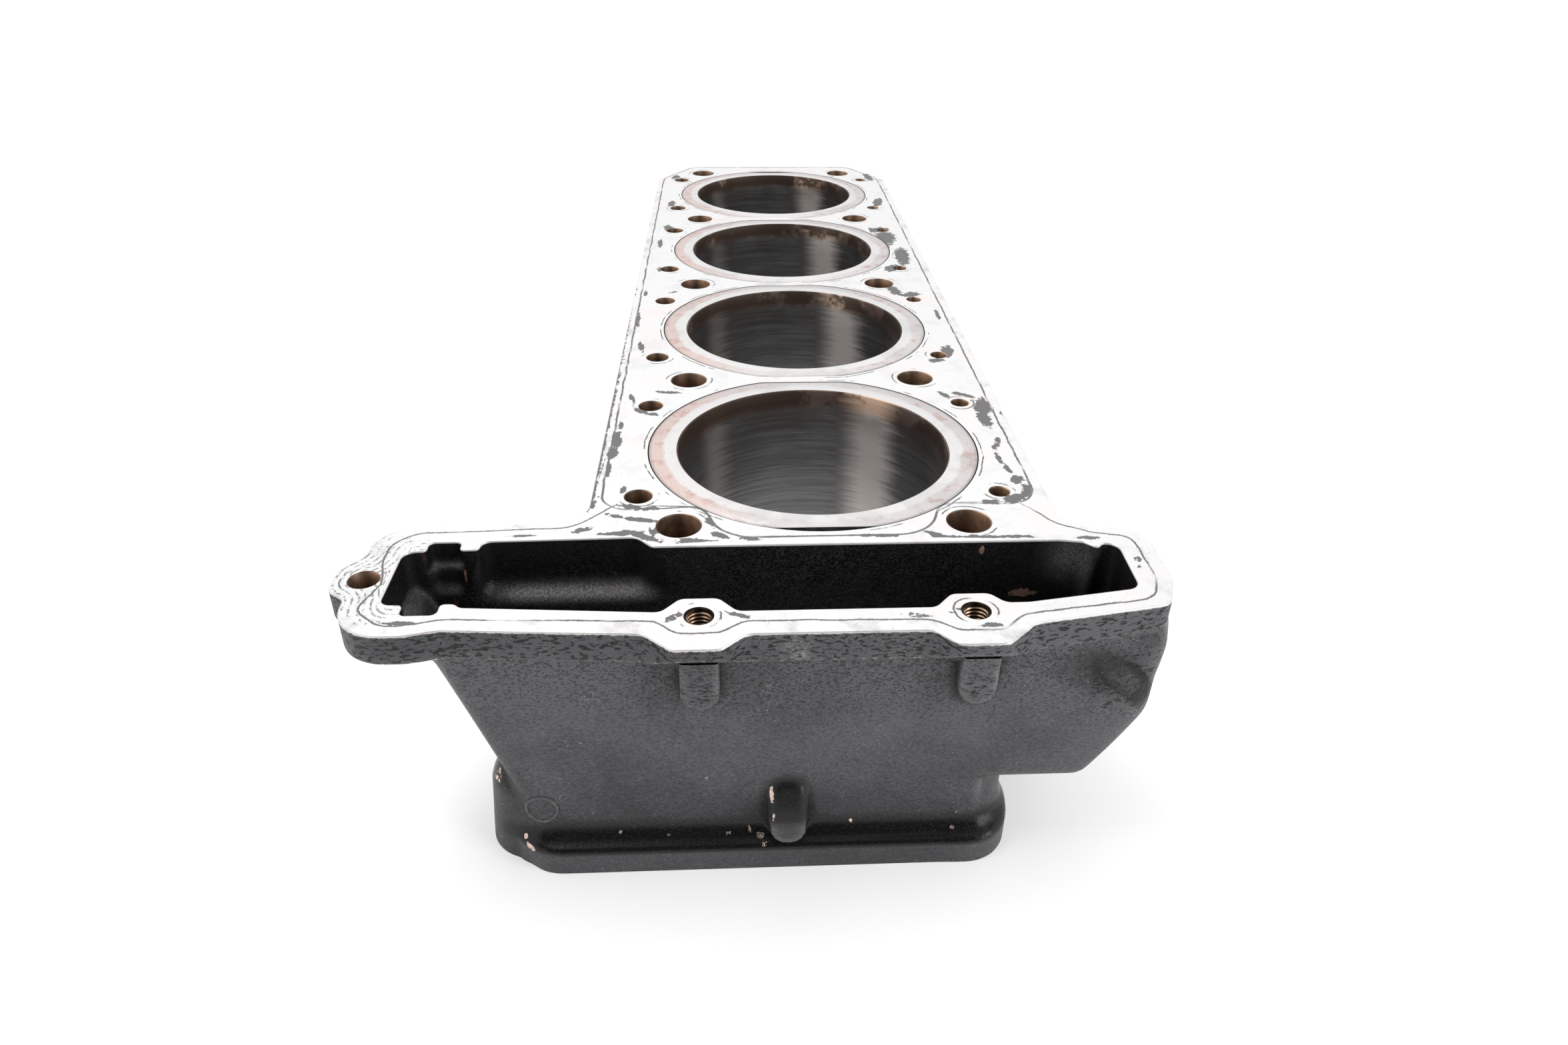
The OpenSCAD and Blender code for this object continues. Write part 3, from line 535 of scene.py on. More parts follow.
def flat_face(outer, holes, spacing):
    """Triangles of a plane region with holes, with inner points on a grid so that its marks can vary over it."""
    loops = [outer, *holes]
    pts = np.concatenate(loops)
    edges = []
    start = 0
    for path in loops:
        n = len(path)
        edges += [(start + i, start + (i + 1) % n) for i in range(n)]
        start += n
    lo, hi = outer.min(0), outer.max(0)
    gx, gy = np.meshgrid(np.arange(lo[0], hi[0], spacing), np.arange(lo[1], hi[1], spacing), indexing="ij")
    d = outline_distance(gx, gy, outer) < -0.45 * spacing
    for path in holes:
        keep = np.full(gx.shape, True)
        near = (gx > path[:, 0].min() - spacing) & (gx < path[:, 0].max() + spacing)
        near &= (gy > path[:, 1].min() - spacing) & (gy < path[:, 1].max() + spacing)
        keep[near] = outline_distance(gx[near], gy[near], path) > 0.45 * spacing
        d &= keep
    pts = np.concatenate([pts, np.c_[gx[d], gy[d]]])
    co, _, tri, *_ = delaunay_2d_cdt([Vector(p) for p in pts.tolist()], edges, [], 0, 1e-7)
    co = np.array([(p.x, p.y) for p in co])
    tri = np.array([t for t in tri if len(t) == 3])
    mid = co[tri].mean(1)
    keep = outline_distance(mid[:, 0], mid[:, 1], outer) < 0
    for path in holes:
        near = ((mid > path.min(0) - 1) & (mid < path.max(0) + 1)).all(1)
        sel = np.flatnonzero(near)
        keep[sel] &= outline_distance(mid[sel, 0], mid[sel, 1], path) > 0
    tri = tri[keep]
    a, b, c = co[tri[:, 0]], co[tri[:, 1]], co[tri[:, 2]]
    turn = (b[:, 0] - a[:, 0]) * (c[:, 1] - a[:, 1]) - (b[:, 1] - a[:, 1]) * (c[:, 0] - a[:, 0])
    tri[turn < 0] = tri[turn < 0][:, ::-1]
    return co, tri


def carried(path, profile, up=True, closed=True):
    """Rings of a profile carried along a path: each profile row is how far the ring is grown, and its height."""
    rings = [np.c_[grown(path, g), np.full(len(path), z)] for g, z in profile]
    return np.concatenate(rings), strips((len(profile), len(path)), closed, not up)


def plain_marks(n, edge=5.0):
    """Marks of machined metal that the gasket didn't touch."""
    far = {"edge_mm": edge, "hole_mm": 9.0, "seat_mm": 9.0, "ear_mm": 60.0, "water_mm": 9.0, "tunnel_mm": 9.0,
           "residue": 0.0}
    return {key: np.full(n, value) for key, value in far.items()}


def stuck(x, y):
    """How much gasket is left at each point: the highest of the patches' bell curves there."""
    out = np.zeros_like(x)
    for px, py, half, wide, degrees in RESIDUE_ROWS:
        c, s = math.cos(math.radians(degrees)), math.sin(math.radians(degrees))
        u, v = (x - px) * c + (y - py) * s, (y - py) * c - (x - px) * s
        out = np.maximum(out, np.exp(-0.69 * ((u / half) ** 2 + (v / wide) ** 2)))
    return out


def turned(x, y, profile, n=48, inward=False):
    """Surface of revolution about an upright axis: each profile row is a radius and a height."""
    a = np.linspace(0, 2 * np.pi, n, endpoint=False)
    p = np.array(profile, float)
    pts = np.stack([x + p[:, :1] * np.cos(a), y + p[:, :1] * np.sin(a), np.repeat(p[:, 1:], n, 1)], -1)
    return pts.reshape(-1, 3), strips((len(p), n), flip=not inward)


def gather(parts):
    """One point and face array from several."""
    pts, faces, base = [], [], 0
    for p, f in parts:
        pts.append(p)
        faces.append(f + base)
        base += len(p)
    return np.concatenate(pts), np.concatenate(faces)


def seat_radius(angle, sizes, gap, near_flat, far_flat):
    """Radius of a collar with a gap round it, at each angle: a circle with flat sides towards the neighbours."""
    flat, s = sizes.flat / MM + gap, np.sin(angle)
    out = np.full(angle.shape, sizes.collar / MM / 2 + gap)
    for has_flat, side in ((far_flat, s), (near_flat, -s)):
        if has_flat:
            out = np.where(side > 0, np.minimum(out, flat / np.maximum(side, 1e-6)), out)
    return out


def hoop(angle, y, r, z=0.0):
    """Level ring of points round the bore at y: a radius at each angle, and one height."""
    return np.c_[r * np.cos(angle), y + r * np.sin(angle), np.full(len(angle), z)]


# ---------------------------------------------------------------- shader nodes

class Signal:
    """A node's output. Arithmetic on it adds Math nodes, whose other side is a signal or a number."""

    def __init__(self, socket):
        self.socket, self.tree = socket, socket.id_data

    def math(self, operation, *terms):
        return node(self.tree, "ShaderNodeMath", dict(enumerate(terms)), operation=operation)

    def __add__(self, other):
        return self.math("ADD", self, other)

    def __sub__(self, other):
        return self.math("SUBTRACT", self, other)

    def __rsub__(self, other):
        return self.math("SUBTRACT", other, self)

    def __mul__(self, other):
        return self.math("MULTIPLY", self, other)

    def __truediv__(self, other):
        return self.math("DIVIDE", self, other)

    def __abs__(self):
        return self.math("ABSOLUTE", self)

    __radd__, __rmul__ = __add__, __mul__

    def clamped(self):
        """The same Math node, with its result kept from 0 to 1."""
        self.socket.node.use_clamp = True
        return self

    def part(self, i):
        """Component i of a vector."""
        return node(self.tree, "ShaderNodeSeparateXYZ", {0: self}, i)


def feed(socket, value):
    """Links a signal to the socket, or sets its value."""
    if isinstance(value, Signal):
        socket.id_data.links.new(value.socket, socket)
    else:
        socket.default_value = value


def node(tree, kind, inputs=None, output=0, **settings):
    """New node with its inputs and settings. Returns one of its outputs."""
    n = tree.nodes.new(kind)
    for key, value in settings.items():
        setattr(n, key, value)
    for key, value in (inputs or {}).items():
        feed(n.inputs[key], value)
    return Signal(n.outputs[output])


def most(first, *others):
    """The greatest of some signals."""
    for other in others:
        first = first.math("MAXIMUM", first, other)
    return first


def remap(value, low, high, to_low=0.0, to_high=1.0):
    """Smooth S from to_low, where the value is low, to to_high, where it is high."""
    return node(value.tree, "ShaderNodeMapRange", dict(enumerate((value, low, high, to_low, to_high))),
                interpolation_type="SMOOTHSTEP")


def blend(factor, a, b):
    """Colour a where the factor is 0, and b where it is 1."""
    return node(factor.tree, "ShaderNodeMix", {0: factor, 6: a, 7: b}, 2, data_type="RGBA")


def noise(vector, scale, detail=4.0, rough=0.55, distortion=0.0):
    """Soft noise about 0.5."""
    return node(vector.tree, "ShaderNodeTexNoise", {"Vector": vector, "Scale": scale, "Detail": detail,
                                                    "Roughness": rough, "Distortion": distortion})


def placed(vector, move=(0, 0, 0), turn=(0, 0, 0), scale=(1, 1, 1)):
    """The vector scaled, turned and moved."""
    return node(vector.tree, "ShaderNodeMapping", {"Vector": vector, "Location": move, "Rotation": turn,
                                                   "Scale": scale})


def mark(at, name):
    """The piece's own mark of that name, in the tree of at."""
    return node(at.tree, "ShaderNodeAttribute", None, "Fac", attribute_name=name)


def effect(name, inputs, outputs):
    """Empty shader node group: an input without a default is a vector, and the others are numbers. Returns the tree,
    its inputs by name, and the sockets that its outputs are fed to."""
    tree = bpy.data.node_groups.new(name, "ShaderNodeTree")
    for key, value in inputs.items():
        kind = "NodeSocketVector" if value is None else "NodeSocketFloat"
        s = tree.interface.new_socket(key, in_out="INPUT", socket_type=kind)
        if value is not None:
            s.default_value = value
    for key in outputs:
        tree.interface.new_socket(key, in_out="OUTPUT", socket_type="NodeSocketFloat")
    given = {s.name: Signal(s) for s in tree.nodes.new("NodeGroupInput").outputs if s.name}
    return tree, given, tree.nodes.new("NodeGroupOutput").inputs


def sized(given):
    """The group's vector times its size."""
    return node(given["Vector"].tree, "ShaderNodeVectorMath", {0: given["Vector"], "Scale": given["Size"]},
                operation="SCALE")


def cast_grain():
    """Sand-cast skin: long wrinkles lying level, over fine pimples. Puts out a height, the wrinkles and pale specks."""
    tree, given, out = effect("cast_grain", {"Vector": None, "Size": 1.0, "Coarse": 0.0},
                              ("Height", "Wrinkles", "Specks"))
    at = sized(given)
    long = noise(placed(at, scale=(1100, 1100, 1500)), 1.0, 2, 0.6, 0.2)
    feed(out["Height"], long * 0.6 + noise(at, 2600, 2, 0.5) * 0.4)
    broad = noise(placed(at, scale=(560, 560, 1600)), 1.0, 2, 0.5, 0.3)
    small = noise(placed(at, scale=(1150, 1150, 2300)), 1.0, 2, 0.6, 0.2)
    coarse = remap(given["Coarse"], 0.7, 0.9)
    feed(out["Wrinkles"], remap(broad * coarse + small * (1.0 - coarse), 0.37, 0.45))
    dots = node(tree, "ShaderNodeTexVoronoi", {"Vector": at, "Scale": 240.0, "Randomness": 1.0}, "Distance")
    pick = remap(noise(at, 160, 1), 0.62, 0.7)
    feed(out["Specks"], dots.math("LESS_THAN", dots, pick * 0.07))
    return tree


def scratches():
    """Thin straight scratches in three directions, broken up by noise."""
    tree, given, out = effect("scratches", {"Vector": None, "Size": 1.0, "Amount": 0.5}, ("Mask",))
    at = sized(given)
    lines = []
    for angle, move in ((0.5, 0.0), (1.35, 3.1), (2.45, 7.7)):
        across = placed(placed(at, (move, move, move), (angle * 0.3, angle, angle)), scale=(90, 3200, 3200))
        gate = remap(noise(placed(at, (move, 0, 0)), 120, 1), 0.6, 0.66)
        lines.append(remap(noise(across, 1.0, 0, 0.5), 0.74, 0.78) * gate)
    feed(out["Mask"], most(*lines) * given["Amount"])
    return tree


def ragged_edge():
    """Edge wear: where a mark rises past a limit that noise makes ragged."""
    tree, given, out = effect("ragged_edge", {"Mark": 0.0, "Vector": None, "Limit": 0.5, "Width": 0.2,
                                              "Raggedness": 0.4, "Size": 400.0}, ("Mask",))
    rough = (noise(given["Vector"], given["Size"], 3, 0.6) - 0.5) * given["Raggedness"]
    feed(out["Mask"], remap(given["Mark"] + rough, given["Limit"], given["Limit"] + given["Width"]))
    return tree


EFFECTS = {"cast_grain": cast_grain, "scratches": scratches, "ragged_edge": ragged_edge}


def used(name, vector, **inputs):
    """The named effect, placed on a vector. Returns its outputs by name."""
    group = bpy.data.node_groups.get(name) or EFFECTS[name]()
    there = node(vector.tree, "ShaderNodeGroup", node_tree=group).socket.node
    for key, value in {"Vector": vector, **inputs}.items():
        feed(there.inputs[key], value)
    return {s.name: Signal(s) for s in there.outputs}


def plain(name, sockets):
    """Material with a Principled shader and values for some of its sockets. Returns it and all the shader's inputs."""
    m = bpy.data.materials.new(name)
    m.use_nodes = True
    inputs = m.node_tree.nodes["Principled BSDF"].inputs
    for key, value in sockets.items():
        feed(inputs[key], value)
    return m, inputs


# Each finish below gives what it feeds its shader's sockets, and its bump's height, distance and strength.

def black_paint(at, c):
    """Satin black over the casting: a bloom, with a painted sheen, on upright faces; glossier and painted dark as shade
    where it faces up, with painted shade in hollows and painted highlights on edges; worn at the edges.
    """
    gloss_and_shade, wrinkled, painted_shade = mark(at, "gloss_and_shade"), mark(at, "wrinkled"), mark(at, "painted_shade")
    grain = used("cast_grain", at, Size=1.0, Coarse=wrinkled)
    # Faces that look up lose the bloom and are left darker as painted shade; the bloom also fades towards the bottom.
    cloud, height, dust_and_sheen = noise(at, 24, 4, 0.6), at.part(2), 1.0 - gloss_and_shade
    haze = dust_and_sheen * remap(cloud, 0.32, 0.68, 0.64, 1.18) * remap(height, 0.005, 0.05, 0.68, 1.06)
    mottle = remap(grain["Height"], 0.38, 0.68, 0.72, 1.24)
    colour = blend((haze * mottle).clamped(), list(c.paint), list(c.haze))
    dust_and_highlight = remap(noise(at, 60, 6, 0.75), 0.58, 0.8) * dust_and_sheen
    colour = blend(dust_and_highlight * 0.14, colour, (0.22, 0.22, 0.215, 1))
    colour = blend((1.0 - grain["Wrinkles"]) * wrinkled * 0.95, colour, list(c.paint))
    # Painted highlight and rubbing: convex edges, the ring's crown and a strip on the right column are lightened.
    colour = blend(mark(at, "rub_and_highlight") * dust_and_sheen * 0.5, colour, (0.24, 0.24, 0.245, 1))
    # Painted shade: hollows, the low boss's slope, the foot's fillet, the corner under the overhang and the left lug
    # are taken towards black.
    colour = blend(painted_shade * 0.9, colour, list(c.paint))
    away = node(at.tree, "ShaderNodeVectorMath", {0: at, 1: SMEAR}, "Value", operation="DISTANCE")
    smear = remap(away, 0.0045, 0.0008) * remap(noise(at, 900, 4, 0.7), 0.42, 0.62)
    colour = blend(smear * 0.6, colour, (0.42, 0.41, 0.38, 1))
    colour = blend(grain["Specks"] * (0.7 - painted_shade * 0.6), colour, (0.6, 0.58, 0.56, 1))
    lines = used("scratches", at, Size=1.0, Amount=0.8)["Mask"]
    colour = blend(lines * (0.7 - painted_shade * 0.7), colour, (0.38, 0.38, 0.37, 1))
    chips = used("ragged_edge", at, Mark=mark(at, "worn"), Limit=0.5, Width=0.1, Raggedness=1.0, Size=900.0)["Mask"]
    metal = blend(remap(height, 0.05, 0.035), (0.55, 0.53, 0.51, 1), (0.72, 0.56, 0.48, 1))
    relief = (grain["Height"] * 0.35 + grain["Wrinkles"] * wrinkled) * remap(gloss_and_shade, 0.0, 1.0, 1.0, 0.3) - chips * 0.15
    return {"Base Color": blend(chips, colour, metal), "Metallic": chips * 0.85,
            "Roughness": remap(gloss_and_shade, 0.0, 1.0, 0.46, 0.2) + (cloud - 0.5) * 0.25,
            "Specular IOR Level": 0.3}, (relief, 0.0007, 0.9)


def tunnel_paint(at, c):
    """Deep glossy black inside the tunnel, grainy, with chips of bare metal; painted highlights lift it to pale grey
    where it faces up, on a patch of the right end wall and along the far pocket's lip.
    """
    grain = used("cast_grain", at, Size=1.6)
    chips = used("ragged_edge", at, Mark=mark(at, "worn"), Limit=0.5, Width=0.12, Raggedness=0.9, Size=900.0)["Mask"]
    up = node(at.tree, "ShaderNodeNewGeometry", None, "Normal").part(2)
    # Painted highlight: faces that look up and the marked patches are lifted towards pale grey.
    dust_and_highlight = most(mark(at, "dust_and_sheen"), remap(up, 0.2, 0.9, 0.0, 0.4))
    dust_and_highlight = (dust_and_highlight * remap(grain["Height"], 0.4, 0.62, 0.35, 1.3)).clamped()
    colour = blend(dust_and_highlight, (0.005, 0.005, 0.005, 1), (0.26, 0.255, 0.25, 1))
    colour = blend(grain["Specks"] * 0.6, colour, (0.35, 0.33, 0.31, 1))
    colour = blend(remap(noise(at, 420, 3, 0.7), 0.66, 0.7) * 0.5, colour, (0.12, 0.04, 0.02, 1))
    return {"Base Color": blend(chips, colour, (0.62, 0.38, 0.28, 1)), "Metallic": chips * 0.7,
            "Roughness": remap(noise(at, 60, 3), 0.3, 0.7, 0.26, 0.4)}, (
                grain["Height"] + grain["Wrinkles"] * 0.4, 0.0003, 0.6)


def machined_deck(at, c):
    """Machined aluminium with what the head gasket left: two pressed lines, torn patches, scuffed rings at the ear."""
    water, chain = mark(at, "water_mm"), mark(at, "tunnel_mm")
    fine, ragged = noise(at, 1300, 4, 0.7), noise(at, 520, 5, 0.7)
    wobble = (noise(at, 130, 2) - 0.5) * 1.1
    uneven = wobble + (fine - 0.5) * 0.7

    def line(value, place, width):
        return remap(abs(value + uneven - place), width, width * 0.45)

    gate = remap(noise(at, 55, 4, 0.65), 0.34, 0.5, 0.25, 1.0)
    other = remap(noise(placed(at, (4, 0, 0)), 85, 3, 0.6), 0.5, 0.56)
    pressed = most(line(water, 0.0, 0.42), line(chain, 0.0, 0.36)) * gate
    rings = most(line(mark(at, "hole_mm"), 1.5, 0.3), line(mark(at, "seat_mm"), 1.1, 0.26)) * other
    patch = remap(mark(at, "residue") + (ragged - 0.5) * 1.5, 0.48, 0.51)
    ear = remap(mark(at, "ear_mm"), 25.0, 8.0)
    turns = mark(at, "edge_mm") / 1.5 + wobble * 0.8
    turns = remap(abs(turns.math("FRACT", turns) - 0.5), 0.24, 0.12)
    scuffs = turns * remap(ragged * 0.6 + fine * 0.4 + ear * 0.06, 0.54, 0.58) * remap(ear, 0.1, 0.4, 0.0, 0.75)
    stain = most(pressed, rings, patch, scuffs, remap(fine, 0.66, 0.69, 0.0, 0.75))
    outside = water.math("MINIMUM", remap(water, 0.0, 0.3), remap(chain, 0.0, 0.3))
    colour = blend(remap(noise(at, 40, 3), 0.5, 0.7) * 0.35, list(c.deck), (0.9, 0.74, 0.72, 1))
    faint = remap(noise(placed(at, (0, 9, 0)), 90, 5, 0.7), 0.5, 0.66) * (outside * 0.4 + 0.2)
    colour = blend(faint, colour, (0.5, 0.49, 0.5, 1))
    mill = noise(placed(at, scale=(5200, 260, 260)), 1.0, 2)
    return {"Base Color": blend(stain * 0.93, colour, list(c.residue)), "Metallic": 0.5 - stain * 0.45,
            "Roughness": remap(stain, 0.0, 1.0, 0.36, 0.7) + (mill - 0.5) * 0.12}, (
                stain * 0.7 + mill * 0.12, 0.0001, 0.5)


def ground_iron(at, c):
    """Ground collars of the liners: bright inside, with a grey and reddish band outside, deepest at the sides."""
    uv = node(at.tree, "ShaderNodeUVMap", uv_map="UVMap")
    out, turn = uv.part(1) * -1000, uv.part(0) * (1000 / BORE_R)
    turn = turn.math("COSINE", turn)
    cloud = noise(at, 60, 4, 0.65)
    band = remap(out + (cloud - 0.5) * 5.0, 3.4, 4.6) * remap(abs(turn), 0.1, 0.75, 0.25, 1.0)
    smear = remap(noise(placed(at, (3, 1, 0)), 170, 5, 0.7), 0.5, 0.64)
    tint = blend(remap(turn, -0.2, -0.9), (0.55, 0.5, 0.49, 1), (0.62, 0.43, 0.38, 1))
    colour = blend(band * 0.7, list(c.iron), tint)
    for amount, over in ((smear * band * 0.6, (0.5, 0.3, 0.27, 1)),
                         (remap(cloud, 0.5, 0.62) * 0.3, (0.45, 0.44, 0.44, 1)),
                         (remap(out, 7.2, 8.0, 0.0, 0.45), (0.2, 0.19, 0.19, 1)),
                         (remap(noise(at, 900, 3, 0.7), 0.64, 0.68, 0.0, 0.7), (0.3, 0.29, 0.28, 1))):
        colour = blend(amount, colour, over)
    return {"Base Color": colour, "Roughness": smear * 0.2 + 0.28, "Metallic": 0.55}, (
        noise(at, 900, 3), 0.00008, 0.4)


def honed_bore(at, c):
    """Honed wall: crossed hatch, level bands, pale upright bands up it that are painted reflections, brown carbon above
    the top ring's turn.
    """
    uv = node(at.tree, "ShaderNodeUVMap", uv_map="UVMap")
    deep = uv.part(1) * 1000
    bands = noise(placed(uv, scale=(24, 620, 1)), 1.0, 4, 0.75)
    turn = uv.part(0) * math.degrees(1000 / BORE_R)
    turn += (bands - 0.5) * 20.0 + (noise(placed(uv, scale=(0, 40, 1)), 1.0, 2) - 0.5) * 12.0

    def streak(centre, width, strength):
        return remap(abs(turn - centre), width, width * 0.1) * strength

    # Painted reflections: pale upright bands at set turns round the bore, warmer above the top ring's turn.
    reflection_streaks = streak(56.0, 18.0, 1.1) + streak(137.0, 12.0, 0.2) + streak(255.0, 20.0, 0.3) + streak(318.0, 12.0, 0.2)
    above = remap(deep + (noise(at, 90, 4, 0.6) - 0.5) * 3.0, 7.4, 3.8)
    brown = remap(deep, 17.0, 6.0, 0.0, 0.45) * remap(noise(at, 55, 2), 0.4, 0.6)
    crust = noise(at, 60, 3, 0.55) + noise(at, 500, 3, 0.7) * 0.2 + streak(118.0, 42.0, 0.09)
    colour = blend(remap(bands, 0.3, 0.7), (0.15, 0.15, 0.153, 1), (0.3, 0.297, 0.295, 1))
    colour = blend((reflection_streaks * 1.0).clamped(), colour, (1.0, 0.92, 0.87, 1))
    colour = blend(brown, colour, (0.13, 0.085, 0.065, 1))
    warm = blend((reflection_streaks * 0.8).clamped(), (0.14, 0.085, 0.06, 1), (0.95, 0.62, 0.4, 1))
    colour = blend(above * 0.8, colour, warm)
    hatch = [noise(placed(uv, turn=(0, 0, lean), scale=(60, 2600, 1)), 1.0, 1) for lean in (0.55, -0.55)]
    return {"Base Color": blend(remap(crust, 0.5, 0.6) * above * 0.92, colour, list(c.carbon)),
            "Metallic": 0.85 - above * 0.35 - reflection_streaks * 0.35,
            "Roughness": above * 0.2 + 0.24 + bands * 0.12}, (hatch[0] + hatch[1], 0.00004, 0.5)


def stained_hole(at, c):
    """Brown stained metal in the holes through the deck, with a pale bronze painted highlight on the wall of each that
    faces left.
    """
    n = noise(at, 260, 4, 0.6)
    # Painted highlight: the wall that faces left is lifted towards bronze.
    side = remap(node(at.tree, "ShaderNodeNewGeometry", None, "Normal").part(0), 0.1, -0.75)
    colour = blend(remap(n, 0.35, 0.65), (0.1, 0.07, 0.05, 1), (0.2, 0.13, 0.09, 1))
    colour = blend(side * remap(n, 0.3, 0.6, 0.5, 1.0), colour, list(c.bronze))
    return {"Base Color": colour, "Roughness": 0.4, "Metallic": 0.7}, (n, 0.0001, 0.4)


def dark_gap(at, c):
    """Near-black in the narrow gaps round the collars."""
    n = noise(at, 300, 3, 0.6)
    colour = blend(remap(n, 0.4, 0.7), (0.012, 0.012, 0.012, 1), (0.06, 0.05, 0.045, 1))
    return {"Base Color": colour, "Roughness": 0.6}, (n, 0.0001, 0.4)


def bright_thread(at, c):
    """Coppery threads of the cover holes, with painted shade: near black in the roots and below 9 mm down."""
    n = noise(at, 500, 3)
    crest = blend(remap(n, 0.4, 0.7), (0.85, 0.6, 0.42, 1), (0.5, 0.28, 0.16, 1))
    colour = blend(remap(mark(at, "crest"), 0.35, 0.8), (0.02, 0.014, 0.01, 1), crest)
    return {"Base Color": colour, "Roughness": 0.3, "Metallic": 1.0}, (n, 0.00005, 0.4)


FINISHES = {make.__name__: make for make in (black_paint, tunnel_paint, machined_deck, ground_iron, honed_bore,
                                             stained_hole, dark_gap, bright_thread)}


def finish_of(name):
    """The named material, made the first time it is asked for."""
    if name in bpy.data.materials:
        return bpy.data.materials[name]
    m, inputs = plain(name, {})
    at = node(m.node_tree, "ShaderNodeTexCoord", None, "Object")
    sockets, (height, distance, strength) = FINISHES[name](at, bpy.context.scene.block_colours)
    bump = node(m.node_tree, "ShaderNodeBump", {"Height": height, "Distance": distance, "Strength": strength})
    for key, value in {**sockets, "Normal": bump}.items():
        feed(inputs[key], value)
    return m


# ---------------------------------------------------------------- operators

class BLOCK_OT_housing(bpy.types.Operator):
    """Cast housing at the tunnel end, and the tunnel's own walls"""
    bl_idname = "block.housing"
    bl_label = "Housing and tunnel"

    def execute(self, context):
        cell = context.scene.block_sizes.cell / MM
        paint = finish_of("black_paint")
        verts, quads = skin(housing, (-110, -92, -HEIGHT - cell / 2), (82, -43, -4.6), cell)
        out, normal = convexity(verts, quads)
        out /= cell
        x, y, z = verts.T
        front = y < -83
        chips = [bell((x - cx) / half, (z - cz) / tall) * level * front for cx, cz, half, tall, level in CHIP_ROWS]
        lug = bell((x + 81) / 3, (z + 48) / 3, (y + 78) / 3)
        worn = np.maximum.reduce([ramp(out, 0.06, 0.2) * 0.35, lug * 0.66, *chips])
        # Painted highlight with rubbing: convex edges are lightened, and a light strip is painted on the right column.
        rub_and_highlight = np.maximum(ramp(out, 0.015, 0.1), bell((x - 35.6) / 0.8, (z + 50.5) / 4) * front)
        upper = soft_step(z, -32, -8) * 0.42 + 0.14
        # Painted shade lies round the bosses' feet, on the low boss's slope, along the foot's fillet, under the corner,
        # in hollows and on the left lug.
        low = low_boss(x, z) - 4.9
        dark = [ramp(-out, 0.008, 0.06), 0.97 * soft_step(-low, 0, 0.9) * soft_step(z, -55.4, -54),
                0.5 * bell(low - 0.4) * (z > -60)]
        for cx in COVERS:
            stem = np.hypot(x - cx, np.minimum(z + 16.4, 0)) - 4.3
            dark.append(0.75 * bell((stem - 0.5) / 0.9) * soft_step(-z, 7, 12) * (y > -87.6))
            upper = np.where((stem < 0.4) & (y < -87.6) & (z < -11) & (z > -16), 1.0, upper)
        foot = soft_step(z, -65, -63.2) * soft_step(-z, 57, 61) * soft_step(-y, 79, 82)
        dark.append(0.95 * foot * soft_step(low, -0.6, 0.6))
        corner = ((x - 67) / 7.5) ** 2 + ((z + 18.5 + 0.7 * (x - 67)) / 3.8) ** 2
        dark.append(bell(corner) * (y < -60))
        upper = np.maximum(upper, soft_step(x, 55, 60) * soft_step(-z, 10, 14) * soft_step(z, -29, -23) * 0.95)
        dark.append(0.3 * soft_step(-x, 71, 75) * soft_step(-z, 38, 42))
        piece("housing_casting", verts, quads, [paint], replaces=["cylinder_block"], marks={
            "gloss_and_shade": ramp(normal[:, 2], 0.12, 0.25), "worn": worn, "wrinkled": upper, "rub_and_highlight": rub_and_highlight,
            "painted_shade": np.maximum.reduce(dark)})
        # Ring cast on the wall: each of its points is set out from the wall by the ring's height there.
        a, r = np.linspace(0, 2 * np.pi, 73)[:, None], np.array([4.4, 4.1, 3.8, 3.45, 3.15])
        proud = np.array([-0.06, 0.26, 0.34, 0.26, -0.06])
        rx, rz = -69.7 + r * np.cos(a), -53.8 + r * np.sin(a)
        low_y, high_y = np.full(rx.shape, -90.0), np.full(rx.shape, -78.0)
        for _ in range(22):
            mid_y = (low_y + high_y) / 2
            outside = housing(rx, mid_y, rz) > 0
            low_y, high_y = np.where(outside, mid_y, low_y), np.where(outside, high_y, mid_y)
        n = rx.size
        # The ring's edges get painted shade and its crown a painted highlight.
        piece("cast_ring", np.stack([rx, high_y - proud, rz], -1).reshape(-1, 3), strips(rx.shape, closed=False),
              [paint], marks={"gloss_and_shade": np.zeros(n), "worn": np.zeros(n), "wrinkled": np.full(n, 0.2),
                              "rub_and_highlight": np.tile([0, 0.3, 0.7, 0.3, 0], len(a)),
                              "painted_shade": np.tile([1, 0, 0, 0, 1], len(a))})
        verts, quads = skin(tunnel, (-104, -82, -HEIGHT - cell / 2), (74, -45, -0.4), cell, outward=False)
        x, y, z = verts.T
        patch = bell((x - 49.5) / 5, (z + 15.5) / 1.6) * (y > -54) * 0.9
        chip = bell((x - 37.8) / 0.8, (z + 2.5) / 1.6) * (y > -54)
        pillar = bell((x + 87.8) / 0.7, (z + 7) / 3, (y + 52.6) / 1.2)
        # Painted highlights: a pale patch on the right end wall and a pale line along the far pocket's lip.
        dust_and_sheen = bell((x - 60.5) / 5.5, (z + 5.5) / 5.5) * (y > -58) * 0.7
        lip = bell(((x + 62) / 19) ** 3, (z + 13.9) / 1.5) * (y > -56)
        piece("tunnel_walls", verts, quads, [finish_of("tunnel_paint")],
              marks={"worn": np.maximum.reduce([patch, chip, pillar]), "dust_and_sheen": np.maximum(dust_and_sheen, lip)})
        return {"FINISHED"}


